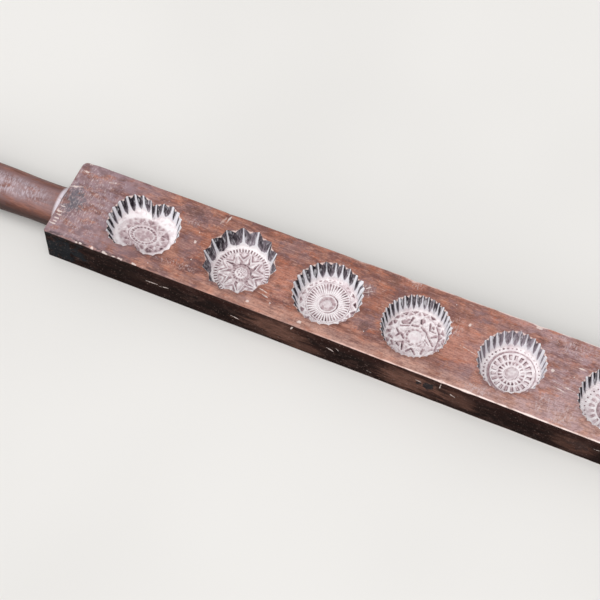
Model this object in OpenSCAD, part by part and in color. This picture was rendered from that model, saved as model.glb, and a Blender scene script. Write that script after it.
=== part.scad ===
// Wooden cake mold: one carved hardwood board with six fluted wells and a pegged round handle.
// X runs along the board from the handle to the far end, Y across it, Z up from its underside.

/* [Board] */
// Wood left beside the widest well at the handle end
side_wood_near = 5.5; // [3:0.5:15]
// Wood left beside the widest well at the far end
side_wood_far = 8.2; // [3:0.1:15]
// Wood left under the deepest well at the handle end
base_wood_near = 16; // [10:0.5:30]
// Wood left under the deepest well at the far end
base_wood_far = 13.4; // [8:0.1:30]
// Wood between the handle's socket and the first well
socket_backing = 6; // [3:0.5:20]
// Wood between the last well and the far end
far_end_wood = 35.5; // [10:0.5:60]
// Radius of the board's four upright corners
corner_round = 4; // [1:0.5:5]
// Leg of the worn bevel along the board's edges
edge_bevel = 1.2; // [0.4:0.1:2.5]

/* [Wood between the wells] */
// From the lobed well to the star well
bridge_lobed_star = 20.7; // [6:0.1:40]
// From the star well to the fan well
bridge_star_fan = 14.8; // [6:0.1:40]
// From the fan well to the chip well
bridge_fan_chip = 15.6; // [6:0.1:40]
// From the chip well to the wheel well
bridge_chip_wheel = 21.5; // [6:0.1:40]
// From the wheel well to the band well
bridge_wheel_band = 24.2; // [6:0.1:40]

/* [Lobed well] */
// Length of the two-lobed mouth
lobed_l = 53.6; // [46:0.2:64]
// Width of each lobe across the board
lobed_w = 44; // [36:0.5:50]
// Distance between the centres of the two lobes
lobe_gap = 20; // [8:0.5:22]
// Depth below the board's top
lobed_depth = 14.6; // [8:0.1:20]
// Number of grooves in its wall
lobed_grooves = 26; // [12:1:40]
// Depth of a groove at the mouth
lobed_groove_d = 1.7; // [0.6:0.1:2.5]
// How far its wall leans in from the mouth to the floor
lobed_lean = 4.2; // [1:0.1:6]
// Number of rays round the oval
sun_rays = 12; // [8:1:16]

/* [Star well] */
// Mouth diameter over the groove tips
star_d = 53; // [46:0.5:62]
// Depth below the board's top
star_depth = 16.5; // [8:0.1:20]
// Number of grooves in its wall
star_grooves = 14; // [8:1:24]
// Depth of a groove at the mouth
star_groove_d = 3.2; // [1:0.1:4]
// How far its wall leans in from the mouth to the floor
star_lean = 5.3; // [1:0.1:6]
// Number of the star's points
star_points = 9; // [6:1:12]

/* [Fan well] */
// Mouth diameter over the groove tips
fan_d = 50.4; // [44:0.2:60]
// Depth below the board's top
fan_depth = 16.6; // [8:0.1:20]
// Number of grooves in its wall
fan_grooves = 26; // [16:1:40]
// Depth of a groove at the mouth
fan_groove_d = 1.7; // [0.6:0.1:2.5]
// How far its wall leans in from the mouth to the floor
fan_lean = 4.1; // [1:0.1:6]
// Number of fan blades
fan_blades = 40; // [20:1:44]

/* [Chip well] */
// Mouth diameter over the groove tips
chip_d = 49.4; // [44:0.2:60]
// Depth below the board's top
chip_depth = 16.2; // [8:0.1:20]
// Number of grooves in its wall
chip_grooves = 36; // [20:1:44]
// Depth of a groove at the mouth
chip_groove_d = 1.5; // [0.6:0.1:2]
// How far its wall leans in from the mouth to the floor
chip_lean = 3.1; // [1:0.1:6]
// Number of chips cut round the outer band
outer_chips = 18; // [12:1:24]
// Number of points of the inner chip star
inner_chips = 8; // [6:1:12]

/* [Wheel well] */
// Mouth diameter over the groove tips
wheel_d = 48.6; // [44:0.2:60]
// Depth below the board's top
wheel_depth = 18; // [8:0.1:20]
// Number of grooves in its wall
wheel_grooves = 28; // [16:1:40]
// Depth of a groove at the mouth
wheel_groove_d = 1.6; // [0.6:0.1:2.5]
// How far its wall leans in from the mouth to the floor
wheel_lean = 3.1; // [1:0.1:6]
// Number of slots in each ring of the wheel
wheel_slots = 20; // [12:1:24]

/* [Band well] */
// Mouth diameter over the groove tips
band_d = 49; // [44:0.2:60]
// Depth below the board's top
band_depth = 17; // [8:0.1:20]
// Number of grooves in its wall
band_grooves = 30; // [16:1:40]
// Depth of a groove at the mouth
band_groove_d = 1.6; // [0.6:0.1:2.5]
// How far its wall leans in from the mouth to the floor
band_lean = 2.9; // [1:0.1:6]
// Number of slots round the band
band_slots = 20; // [12:1:26]

/* [Carving] */
// Depth of a wall groove where it meets the floor
groove_foot = 0.6; // [0.2:0.1:1.2]
// Depth of the rosettes cut into the floors
relief_d = 1.2; // [0.5:0.1:2]
// Rise of the round bosses over the floors
boss_rise = 0.9; // [0.3:0.1:2]

/* [Handle] */
// Length of the handle from the board to its butt
handle_l = 122; // [80:1:180]
// Diameter of the grip
grip_d = 31.8; // [24:0.2:34]
// Diameter of the neck, where the handle is thinnest
neck_d = 30.4; // [22:0.2:33]
// Diameter of the shoulder lip against the board
shoulder_d = 31.6; // [26:0.2:34]
// Length of the swell from the neck to the grip
swell_l = 34; // [10:1:50]
// Length of the flare from the lip to the neck
flare_l = 14; // [4:1:30]
// Width of the shoulder lip
lip_w = 2.4; // [1:0.2:5]
// How far the handle sits off the board's middle line, to the front
handle_off = 2; // [0:0.5:6]
// Radius of the rounded butt
butt_round = 7; // [2:0.5:10]

/* [Handle joint] */
// Diameter of the tenon
tenon_d = 18; // [12:0.5:22]
// Length of the tenon
tenon_l = 28; // [18:1:45]
// Gap between the tenon and its socket, on the radius
tenon_clearance = 0.1; // [0.05:0.05:0.4]
// Gap past the tenon's tip
tip_gap = 1.7; // [0.5:0.1:4]
// Diameter of a peg
peg_d = 5; // [3:0.5:7]
// Gap between a peg and its hole, on the radius
peg_clearance = 0.1; // [0.05:0.05:0.3]
// Distance between the pegs
peg_pitch = 11; // [8:0.5:16]
// How far a peg runs into the wood over the tenon
peg_bite = 1.6; // [0.5:0.1:4]
// How far a peg's foot sits up from the underside
peg_recess = 0.3; // [0.1:0.1:1]

/* [Hidden] */
$fn = 64;

board_brown = [0.42, 0.24, 0.18];
handle_brown = [0.36, 0.22, 0.18];
peg_tan = [0.62, 0.47, 0.30];

// Places along the board, from its handle end
socket_l = tenon_l + tip_gap;
lobed_x = socket_l + socket_backing + lobed_l / 2;
star_x = lobed_x + lobed_l / 2 + bridge_lobed_star + star_d / 2;
fan_x = star_x + star_d / 2 + bridge_star_fan + fan_d / 2;
chip_x = fan_x + fan_d / 2 + bridge_fan_chip + chip_d / 2;
wheel_x = chip_x + chip_d / 2 + bridge_chip_wheel + wheel_d / 2;
band_x = wheel_x + wheel_d / 2 + bridge_wheel_band + band_d / 2;
board_l = band_x + band_d / 2 + far_end_wood;

// Width and thickness of the board at its two ends
widest = max(lobed_w, star_d, fan_d, chip_d, wheel_d, band_d);
deepest = max(lobed_depth, star_depth, fan_depth, chip_depth, wheel_depth, band_depth);
width_near = widest + 2 * side_wood_near;
width_far = widest + 2 * side_wood_far;
thick_near = deepest + base_wood_near;
thick_far = deepest + base_wood_far;
flare_angle = atan((width_far - width_near) / 2 / board_l);
slope_angle = atan((thick_near - thick_far) / board_l);

// The middle of the whole length is the origin
shift_x = (handle_l - board_l) / 2;
axis_z = thick_near / 2;

// The pegged joint
socket_d = tenon_d + 2 * tenon_clearance;
peg_hole_d = peg_d + 2 * peg_clearance;
peg_top = axis_z + tenon_d / 2 + peg_bite;
peg_point_l = peg_d / 4;
peg_point_d = 0.7 * peg_d;

// Fineness of the arcs, small bevel on turned edges, and overlaps of the cuts
corner_steps = 6;
curve_steps = 8;
oval_steps = 48;
arris = 0.4;
over = 2;
join = 0.4;

// Slots and chips as shares of their pitch
slot_share = 0.5;
ray_share = 0.8;
outer_chip_share = 0.8;
inner_chip_share = 0.6;

// Root of a boss below the floor as a share of its radius
boss_skirt = 1.05;

// Columns of a well's row
PLACE = 0;
HALF_L = 1;
HALF_W = 2;
HALF_GAP = 3;
DEPTH = 4;
GROOVES = 5;
GROOVE_D = 6;
LEAN = 7;
TURN = 8;
BOSS = 9;

function round_well(x, d, depth, grooves, groove_d, lean, turn, boss) =
    [x, d / 2, d / 2, 0, depth, grooves, groove_d, lean, turn, boss];

function lobed_well(turn) = [
    lobed_x, lobed_l / 2, lobed_w / 2, lobe_gap / 2, lobed_depth,
    lobed_grooves, lobed_groove_d, lobed_lean, turn, 0
];

// Turns put the first groove where the carver began, and a boss is a share of its floor
WELLS = [
    lobed_well(4),
    round_well(star_x, star_d, star_depth, star_grooves, star_groove_d, star_lean, 7, 0.20),
    round_well(fan_x, fan_d, fan_depth, fan_grooves, fan_groove_d, fan_lean, 3, 0.17),
    round_well(chip_x, chip_d, chip_depth, chip_grooves, chip_groove_d, chip_lean, 9, 0.21),
    round_well(wheel_x, wheel_d, wheel_depth, wheel_grooves, wheel_groove_d, wheel_lean, 6, 0.23),
    round_well(band_x, band_d, band_depth, band_grooves, band_groove_d, band_lean, 2, 0.20)
];

function top_z(x) = thick_near - x * tan(slope_angle);

// Reach of a well's mouth from its centre in one direction, for one round or two overlapping lobes
function mouth_reach(well, angle) =
    let (
        along = well[HALF_L] - well[HALF_GAP],
        across = well[HALF_W],
        c = abs(cos(angle)),
        s = sin(angle),
        p = pow(c / along, 2) + pow(s / across, 2),
        q = p - pow(well[HALF_GAP] * s / (along * across), 2)
    )
    (c * well[HALF_GAP] / pow(along, 2) + sqrt(q)) / p;

// One zigzag ring of a well's wall: level 0 is the floor and level 1 the mouth
function wall_ring(well, level) = [
    for (i = [0 : 2 * well[GROOVES] - 1])
        let (
            angle = well[TURN] + 180 * i / well[GROOVES],
            ridge = (i % 2) * (groove_foot + (well[GROOVE_D] - groove_foot) * level),
            reach = mouth_reach(well, angle) - well[LEAN] * (1 - level) - ridge
        )
        [reach * cos(angle), reach * sin(angle), well[DEPTH] * level]
];

// Reach of a well's floor, inside the feet of its ridges
function floor_reach(well, angle) = mouth_reach(well, angle) - well[LEAN] - groove_foot;

// The hollow of a well over its floor, run on past the board's top
module wall_hollow(well) {
    count = 2 * well[GROOVES];
    middles = [[0, 0, 0], [0, 0, well[DEPTH] + over]];
    points = concat(wall_ring(well, 0), wall_ring(well, 1 + over / well[DEPTH]), middles);
    floor_middle = 2 * count;
    mouth_middle = 2 * count + 1;
    faces = [
        for (i = [0 : count - 1])
            let (j = (i + 1) % count)
                each [
                    [i, count + i, count + j],
                    [i, count + j, j],
                    [i, j, floor_middle],
                    [count + j, count + i, mouth_middle]
                ]
    ];
    polyhedron(points, faces);
}

module ring(inner, outer) {
    difference() {
        circle(r = outer);
        circle(r = inner);
    }
}

// Slots set round a centre
module radial_slots(count, inner, outer) {
    half = slot_share * 180 / count;
    for (i = [0 : count - 1])
        rotate(360 * i / count)
            polygon([
                inner * [cos(half), -sin(half)],
                outer * [cos(half), -sin(half)],
                outer * [cos(half), sin(half)],
                inner * [cos(half), sin(half)]
            ]);
}

// Chips set round a centre: triangles with their points at one radius and their bases at another
module radial_chips(count, tip, base, share) {
    half = share * 180 / count;
    for (i = [0 : count - 1])
        rotate(90 + 360 * i / count)
            polygon([[tip, 0], base * [cos(half), -sin(half)], base * [cos(half), sin(half)]]);
}

function oval_point(half_axes, angle) = [half_axes[0] * cos(angle), half_axes[1] * sin(angle)];

// Oval field with rays round it, held inside the waist between the lobes
module sunburst(reach, waist) {
    field = [0.37 * reach, 0.42 * waist];
    ray_tip = [0.55 * reach, 0.69 * waist];
    ray_base = [0.74 * reach, 0.92 * waist];
    half = ray_share * 180 / sun_rays;
    polygon([for (i = [0 : oval_steps - 1]) oval_point(field, 360 * i / oval_steps)]);
    for (i = [0 : sun_rays - 1])
        let (a = 360 * (i + 0.5) / sun_rays)
            polygon([
                oval_point(ray_tip, a),
                oval_point(ray_base, a - half),
                oval_point(ray_base, a + half)
            ]);
}

// Pointed star round a ringed disc
module pointed_star(reach) {
    tip = 0.80 * reach;
    notch = 0.48 * reach;
    disc = 0.36 * reach;
    groove = [0.25, 0.31] * reach;
    difference() {
        polygon([
            for (i = [0 : 2 * star_points - 1])
                let (a = 90 + 180 * i / star_points)
                    (i % 2 == 0 ? tip : notch) * [cos(a), sin(a)]
        ]);
        circle(r = disc);
    }
    ring(groove[0], groove[1]);
}

module fan_rosette(reach) {
    blades = [0.38, 0.70] * reach;
    groove = [0.19, 0.32] * reach;
    radial_slots(fan_blades, blades[0], blades[1]);
    ring(groove[0], groove[1]);
}

module chip_rosette(reach) {
    outer_band = [0.80, 0.96] * reach;
    inner_band = [0.46, 0.72] * reach;
    groove = [0.23, 0.33] * reach;
    radial_chips(outer_chips, outer_band[0], outer_band[1], outer_chip_share);
    radial_chips(inner_chips, inner_band[0], inner_band[1], inner_chip_share);
    ring(groove[0], groove[1]);
}

module wheel_rosette(reach) {
    groove = [0.77, 0.83] * reach;
    outer_band = [0.52, 0.69] * reach;
    inner_band = [0.29, 0.44] * reach;
    ring(groove[0], groove[1]);
    radial_slots(wheel_slots, outer_band[0], outer_band[1]);
    radial_slots(wheel_slots, inner_band[0], inner_band[1]);
}

module band_rosette(reach) {
    slots = [0.54, 0.72] * reach;
    groove = [0.22, 0.46] * reach;
    radial_slots(band_slots, slots[0], slots[1]);
    ring(groove[0], groove[1]);
}

module rosette(index, reach, waist) {
    if (index == 0) sunburst(reach, waist);
    if (index == 1) pointed_star(reach);
    if (index == 2) fan_rosette(reach);
    if (index == 3) chip_rosette(reach);
    if (index == 4) wheel_rosette(reach);
    if (index == 5) band_rosette(reach);
}

// Low dome left standing in the middle of a floor, rooted a little below it
module boss(radius) {
    ball = (pow(radius, 2) + pow(boss_rise, 2)) / (2 * boss_rise);
    intersection() {
        translate([0, 0, boss_rise - ball])
            rotate([90, 0, 0])
                sphere(r = ball);
        translate([0, 0, -relief_d])
            cylinder(h = relief_d + 2 * boss_rise, r = boss_skirt * radius);
    }
}

// Everything that is carved out for one well
module well_cut(index) {
    well = WELLS[index];
    reach = floor_reach(well, 0);
    waist = floor_reach(well, 90);
    translate([well[PLACE], 0, top_z(well[PLACE]) - well[DEPTH]])
        difference() {
            union() {
                wall_hollow(well);
                translate([0, 0, -relief_d])
                    linear_extrude(height = relief_d + join)
                        rosette(index, reach, waist);
            }
            if (well[BOSS] > 0)
                boss(well[BOSS] * reach);
        }
}

// Side view of the board with its end edges bevelled
function side_outline() = [
    [edge_bevel, 0],
    [board_l - edge_bevel, 0],
    [board_l, edge_bevel],
    [board_l, thick_far - edge_bevel],
    [board_l - edge_bevel, top_z(board_l - edge_bevel)],
    [edge_bevel, top_z(edge_bevel)],
    [0, thick_near - edge_bevel],
    [0, edge_bevel]
];

function corner_arc(x, y, turn) = [
    for (i = [0 : corner_steps])
        let (a = turn + 90 * i / corner_steps)
            [x + corner_round * cos(a), y + corner_round * sin(a)]
];

// Plan view of the board, wider at its far end
function plan_outline() = concat(
    corner_arc(corner_round, -width_near / 2 + corner_round, 180),
    corner_arc(board_l - corner_round, -width_far / 2 + corner_round, 270),
    corner_arc(board_l - corner_round, width_far / 2 - corner_round, 0),
    corner_arc(corner_round, width_near / 2 - corner_round, 90)
);

// Diamond bar that bevels one long edge
module edge_cut(side, height, slope) {
    bar = edge_bevel * sqrt(2);
    translate([0, side * width_near / 2, height])
        rotate([45, slope, side * flare_angle])
            cube([3 * board_l, bar, bar], center = true);
}

module board_blank() {
    difference() {
        intersection() {
            linear_extrude(height = max(thick_near, thick_far))
                polygon(plan_outline());
            rotate([90, 0, 0])
                linear_extrude(height = max(width_near, width_far) + 2 * over, center = true)
                    polygon(side_outline());
        }
        for (side = [-1, 1]) {
            edge_cut(side, 0, 0);
            edge_cut(side, thick_near, slope_angle);
        }
    }
}

// The pegs stand evenly about the middle of the tenon
function peg_x(index) = tenon_l / 2 + (index - 1.5) * peg_pitch;

module peg_holes() {
    for (index = [1, 2])
        translate([peg_x(index), -handle_off, -over])
            cylinder(h = peg_top + over + join, d = peg_hole_d);
}

module mold_board() {
    color(board_brown)
        translate([shift_x, 0, 0])
            difference() {
                board_blank();
                for (index = [0 : len(WELLS) - 1])
                    well_cut(index);
                translate([-over, -handle_off, axis_z])
                    rotate([0, 90, 0])
                        cylinder(h = socket_l + over, d = socket_d);
                peg_holes();
            }
}

// Half section of the handle: radius against distance from the board, the tenon on the plus side
function handle_outline() = concat(
    [[0, tenon_l], [tenon_d / 2 - arris, tenon_l], [tenon_d / 2, tenon_l - arris], [tenon_d / 2, 0]],
    [[shoulder_d / 2 - arris, 0], [shoulder_d / 2, -arris], [shoulder_d / 2, -lip_w]],
    [
        for (i = [1 : curve_steps])
            let (t = i / curve_steps)
                [
                    neck_d / 2 + (shoulder_d - neck_d) / 2 * pow(1 - t, 2),
                    -lip_w - flare_l * t
                ]
    ],
    [
        for (i = [1 : curve_steps])
            let (t = i / curve_steps)
                [
                    neck_d / 2 + (grip_d - neck_d) / 2 * (1 - cos(180 * t)) / 2,
                    -lip_w - flare_l - swell_l * t
                ]
    ],
    [
        for (i = [0 : curve_steps - 1])
            let (a = 90 * i / curve_steps)
                [
                    grip_d / 2 - butt_round * (1 - cos(a)),
                    -handle_l + butt_round * (1 - sin(a))
                ]
    ],
    [[grip_d / 2 - butt_round, -handle_l], [0, -handle_l]]
);

module handle() {
    color(handle_brown)
        translate([shift_x, 0, 0])
            difference() {
                translate([0, -handle_off, axis_z])
                    rotate([0, 90, 0])
                        rotate_extrude()
                            polygon(handle_outline());
                peg_holes();
            }
}

module tenon_peg(index) {
    shank = peg_top - peg_recess - peg_point_l;
    color(peg_tan)
        translate([shift_x + peg_x(index), -handle_off, peg_recess]) {
            cylinder(h = shank, d = peg_d);
            translate([0, 0, shank])
                cylinder(h = peg_point_l, d1 = peg_d, d2 = peg_point_d);
        }
}

mold_board();
handle();
tenon_peg(1);  // tenon_peg_1
tenon_peg(2);  // tenon_peg_2
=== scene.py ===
"""Looks of a wooden cake mold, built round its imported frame.

Sizes are in millimetres in the part's own frame: X runs along the board from the handle,
Y across it and Z up from its underside. Meshes are handed to Blender in metres.
"""
import math
from dataclasses import dataclass

import bmesh
import bpy
import numpy as np
from mathutils import Matrix, Vector, noise
from mathutils.geometry import delaunay_2d_cdt


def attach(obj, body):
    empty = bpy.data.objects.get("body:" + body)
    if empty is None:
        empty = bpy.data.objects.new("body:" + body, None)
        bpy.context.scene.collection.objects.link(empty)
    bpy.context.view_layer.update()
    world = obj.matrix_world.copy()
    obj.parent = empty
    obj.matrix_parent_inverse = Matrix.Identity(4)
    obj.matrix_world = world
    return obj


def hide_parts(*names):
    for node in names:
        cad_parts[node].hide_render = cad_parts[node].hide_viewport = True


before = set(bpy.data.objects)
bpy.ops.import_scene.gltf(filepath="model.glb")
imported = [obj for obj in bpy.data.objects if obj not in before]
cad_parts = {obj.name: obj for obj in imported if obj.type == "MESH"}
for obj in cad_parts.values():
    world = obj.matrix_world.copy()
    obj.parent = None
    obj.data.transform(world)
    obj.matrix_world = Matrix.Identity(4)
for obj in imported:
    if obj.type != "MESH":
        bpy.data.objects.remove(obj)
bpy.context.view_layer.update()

MM = 0.001
TURN = 2.0 * math.pi

# The board
BOARD_START, BOARD_END = -175.0, 297.0
WIDTH_NEAR, WIDTH_FAR = 64.0, 69.4
THICK_NEAR, THICK_FAR = 34.0, 31.4
CORNER_STEPS = 6
OUTLINE_STEP = 2.8
EDGE_ROUND = 1.25
EDGE_STEPS = 5
SIDE_LEVELS = 9
TOP_GRID = 2.3
BOTTOM_GRID = 7.0
GRID_MARGIN = 1.1
ROW_SHARE = 0.87
TOP_SINK = 0.12
EDGE_FALL = 0.75
LOW_EDGE_STEPS = 3
BOARD_CREASE = 38.0

# The carving
GROOVE_FOOT = 0.6
FOOT_ROUND = 0.5
RIM_ROUND = 0.55
WALL_LEVELS = (0.0, 0.03, 0.08, 0.15, 0.23, 0.31, 0.39, 0.47, 0.55, 0.63, 0.71, 0.79, 0.86, 0.92, 0.96)

# The handle and its pegged tenon
AXIS_Y, AXIS_Z = -2.0, 17.0
HANDLE_END = -297.0
GRIP_R, NECK_R, SHOULDER_R, TENON_R = 15.9, 15.2, 15.8, 9.0
LIP_WIDTH, FLARE_LENGTH, SWELL_LENGTH, BUTT_ROUND = 2.4, 14.0, 34.0, 7.0
TENON_LENGTH = 28.0
SOCKET_R, SOCKET_LENGTH = 9.1, 29.7
PEG_HOLE_R, PEG_HOLE_TOP = 2.6, 28.0
PEG_PLACES = (-166.5, -155.5)
DRILL_SIDES = 48
DRILL_RUN_IN = 2.0
BUTT_STEPS, GRIP_STEPS, SWELL_STEPS, FLARE_STEPS = 8, 24, 18, 9
GRIP_SIDES = 72
TURNED_BEVEL = 0.4
SEAT_GAP = 0.02
HANDLE_CREASE = 34.0

# Values painted on the meshes for the finishes; level is over 1 on the outer faces
PAINTS = ("level", "bare", "tooth", "recess", "grime", "worn", "lip", "dust")
ON_TOP = 1.4


def ease(value, start, end):
    """0 before start, 1 after end and a smooth rise between them."""
    t = np.clip((value - start) / (end - start), 0.0, 1.0)
    return t * t * (3.0 - 2.0 * t)


def rough(points, size, seed):
    """Smooth noise from -1 to 1 over points; size is its grain, one number or one per axis."""
    scaled = np.asarray(points, float) / np.asarray(size, float) + seed
    return np.array([noise.noise(Vector(p)) for p in scaled])


# Wells and the rosettes carved into their floors

@dataclass
class Well:
    """One carved well, with angles in degrees and sizes in millimetres.

    Zones say how finely its floor is drawn: the outer radius, the step and the points of their rings.
    """
    name: str
    x: float
    half_length: float
    half_width: float
    half_gap: float
    depth: float
    grooves: int
    groove_depth: float
    lean: float
    first_groove: float
    carving: object
    zones: tuple
    phases: tuple = (0.0, 0.08, 0.2, 0.35, 0.5, 0.65, 0.8, 0.92)
    rim_chips: tuple = ()
    ridge_wear: float = 0.9
    bare_foot: float = 0.2
    bare_share: float = 0.8
    bare_taper: float = 0.34
    bare_light: float = 0.0
    side_flour_and_light: float = 1.0
    seed: int = 0


def mouth_reach(well, angle):
    """How far a mouth reaches from its middle: one round, or two overlapping oval lobes."""
    along = well.half_length - well.half_gap
    across = well.half_width
    c, s = np.abs(np.cos(angle)), np.sin(angle)
    p = (c / along) ** 2 + (s / across) ** 2
    q = p - (well.half_gap * s / (along * across)) ** 2
    return (c * well.half_gap / along ** 2 + np.sqrt(q)) / p


def foot_reach(well, angle):
    """How far the floor reaches, inside the feet of the ridges."""
    return mouth_reach(well, angle) - well.lean - GROOVE_FOOT - FOOT_ROUND


def pitches(angle, count, first):
    """How far angles lie from the nearest of evenly set marks, in pitches from -0.5 to 0.5."""
    return ((angle - math.radians(first)) * count / TURN + 0.5) % 1.0 - 0.5


# Each cut is given by how far a place lies inside its outline, in millimetres

def ring_cut(r, inner, outer):
    return np.minimum(r - inner, outer - r)


def slot_cut(r, angle, count, first, inner, outer, share_in, share_out):
    share = share_in + (share_out - share_in) * np.clip((r - inner) / (outer - inner), 0.0, 1.0)
    pitch = TURN * r / count
    side = np.abs(pitches(angle, count, first)) * pitch
    return np.minimum(share * pitch / 2.0 - side, ring_cut(r, inner, outer))


def dot_cut(r, angle, count, first, ring, size):
    side = pitches(angle, count, first) * TURN * ring / count
    return size - np.hypot(r - ring, side)


def chip_cut(r, angle, count, first, tip, base, share):
    """Triangles with their points at one radius and their bases at another."""
    along = (r - tip) / (base - tip)
    half = 0.5 * share * TURN * base / count * along
    side = np.abs(pitches(angle, count, first)) * TURN * r / count
    return np.minimum(0.9 * (half - side), np.minimum(along, 1.0 - along) * abs(base - tip))


def ray_cut(r, angle, ray_angles, tip, notch):
    """Points of a star: how far inside their outlines places lie, and how far off their middle lines."""
    rays = np.radians(np.sort(np.asarray(ray_angles) % 360.0))
    gaps = (np.roll(rays, -1) - rays) % TURN
    offset = (angle[:, None] - rays[None, :] + math.pi) % TURN - math.pi
    nearest = np.argmin(np.abs(offset), axis=1)
    near = offset[np.arange(len(angle)), nearest]
    half_gap = np.where(near >= 0.0, gaps[nearest], np.roll(gaps, 1)[nearest]) / 2.0
    along, side = r * np.cos(near), np.abs(r * np.sin(near))
    edge_x, edge_y = tip - notch * np.cos(half_gap), notch * np.sin(half_gap)
    edge = np.hypot(edge_x, edge_y)
    inside = ((tip - along) * edge_y - side * edge_x) / edge
    return inside, side, near


def gouge_cut(x, y, start, end, half_start, half_end):
    """One stroke of a gouge: how far inside it places lie, and a share that is 1 on its shaded flank."""
    run_x, run_y = end[0] - start[0], end[1] - start[1]
    along = ((x - start[0]) * run_x + (y - start[1]) * run_y) / (run_x ** 2 + run_y ** 2)
    along = np.clip(along, 0.0, 1.0)
    off_x, off_y = x - start[0] - along * run_x, y - start[1] - along * run_y
    inside = half_start + (half_end - half_start) * along - np.hypot(off_x, off_y)
    return inside, ease(-off_x - off_y, -0.35, 0.35)


def carve(inside, depth, slope=1.3):
    """Floor height left by a cut whose sides slope down to a flat bottom."""
    return -np.minimum(depth, slope * np.maximum(inside, 0.0))


def tint(inside, strength=1.0, soft=0.45):
    """How much a cut is tinted: bare wood in it, and painted shade in its recess."""
    return strength * ease(inside, 0.0, soft)


def zigzag(r, angle, count, first, inner, outer):
    """How far places lie beyond a zigzag line between two radii."""
    peak = 1.0 - 2.0 * np.abs(pitches(angle, count, first))
    slant = math.cos(math.atan2(outer - inner, 0.5 * math.pi * (inner + outer) / count))
    return (r - inner - (outer - inner) * peak) * slant


def dome(r, radius, rise):
    return rise * np.clip(1.0 - (r / radius) ** 2, 0.0, 1.0)


def bead(r, ring, half, rise):
    return rise * np.clip(1.0 - ((r - ring) / half) ** 2, 0.0, 1.0)


def layered(*cuts):
    """Joins cuts, each a pair of floor height and tint."""
    heights = np.min([height for height, _ in cuts], axis=0)
    tints = np.max([shade for _, shade in cuts], axis=0)
    return heights, tints


def cut(inside, depth, strength, slope=1.3, soft=0.45):
    return carve(inside, depth, slope), tint(inside, strength, soft)


def lit(angle, towards, least):
    """A share that is 1 on one side of a rosette and least on the other; it mostly weights painted shade on
    the cuts of that side.
    """
    return least + (1.0 - least) * (0.5 + 0.5 * np.cos(angle - math.radians(towards)))


def uneven(x, y, size, seed):
    """A patchy share from 0 to 1."""
    return ease(rough(np.column_stack((x, y, np.zeros_like(x))), size, seed), -0.45, 0.45)


OVAL_LONG, OVAL_SHORT = 10.8, 7.5
SUN_RAYS = 12
SUN_DOTS = 22


def sunburst(x, y):
    """Oval field in a dotted ring, with a zigzag of rays round it."""
    x, y = x + 0.8, y + 0.4
    oval = np.hypot(x / OVAL_LONG, y / OVAL_SHORT)
    angle = np.arctan2(y / OVAL_SHORT, x / OVAL_LONG)
    mean = math.sqrt(OVAL_LONG * OVAL_SHORT)
    r = oval * mean
    patchy = uneven(x, y, 2.8, 2.4)
    beyond = zigzag(r, angle, SUN_RAYS, 12, 1.10 * mean, 1.62 * mean)
    outer_shade = (0.40 + 0.6 * patchy) * lit(angle, 0, 0.45)
    height, shade = layered(
        cut((0.68 - oval) * OVAL_SHORT, 0.7, 0.38 + 0.12 * patchy),
        cut(0.45 - np.abs(r - 0.40 * mean), 0.3, 0.5 * patchy, 1.4),
        cut(ring_cut(r, 0.73 * mean, 0.93 * mean), 0.3, 0.22),
        cut(dot_cut(r, angle, SUN_DOTS, 4, 0.83 * mean, 1.0), 0.7, 0.9 * lit(angle, 150, 0.7), 2.0),
        cut(0.42 - np.abs(r - 1.06 * mean), 0.4, 0.8 * lit(angle, 190, 0.15), 1.4),
        cut(np.minimum(beyond - 0.3, 1.74 * mean - r), 1.0, outer_shade, 0.8),
        cut(np.minimum(-beyond - 0.22, r - 1.12 * mean), 0.8, 0.34 + 0.4 * patchy, 0.8),
    )
    raised = np.minimum(np.abs(r - 0.98 * mean), np.abs(r - 0.69 * mean))
    ground = (1.0 - ease(r, 1.7 * mean, 1.95 * mean)) * (0.45 + 0.55 * ease(raised, 0.3, 0.7))
    shade = np.maximum(shade, (0.24 + 0.16 * patchy) * ground)
    return height + bead(r, 0.98 * mean, 0.55, 0.35) + bead(r, 0.69 * mean, 0.4, 0.25), shade


STAR_RAYS = (13, 54, 88, 123, 162, 199, 239, 283, 332)


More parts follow.
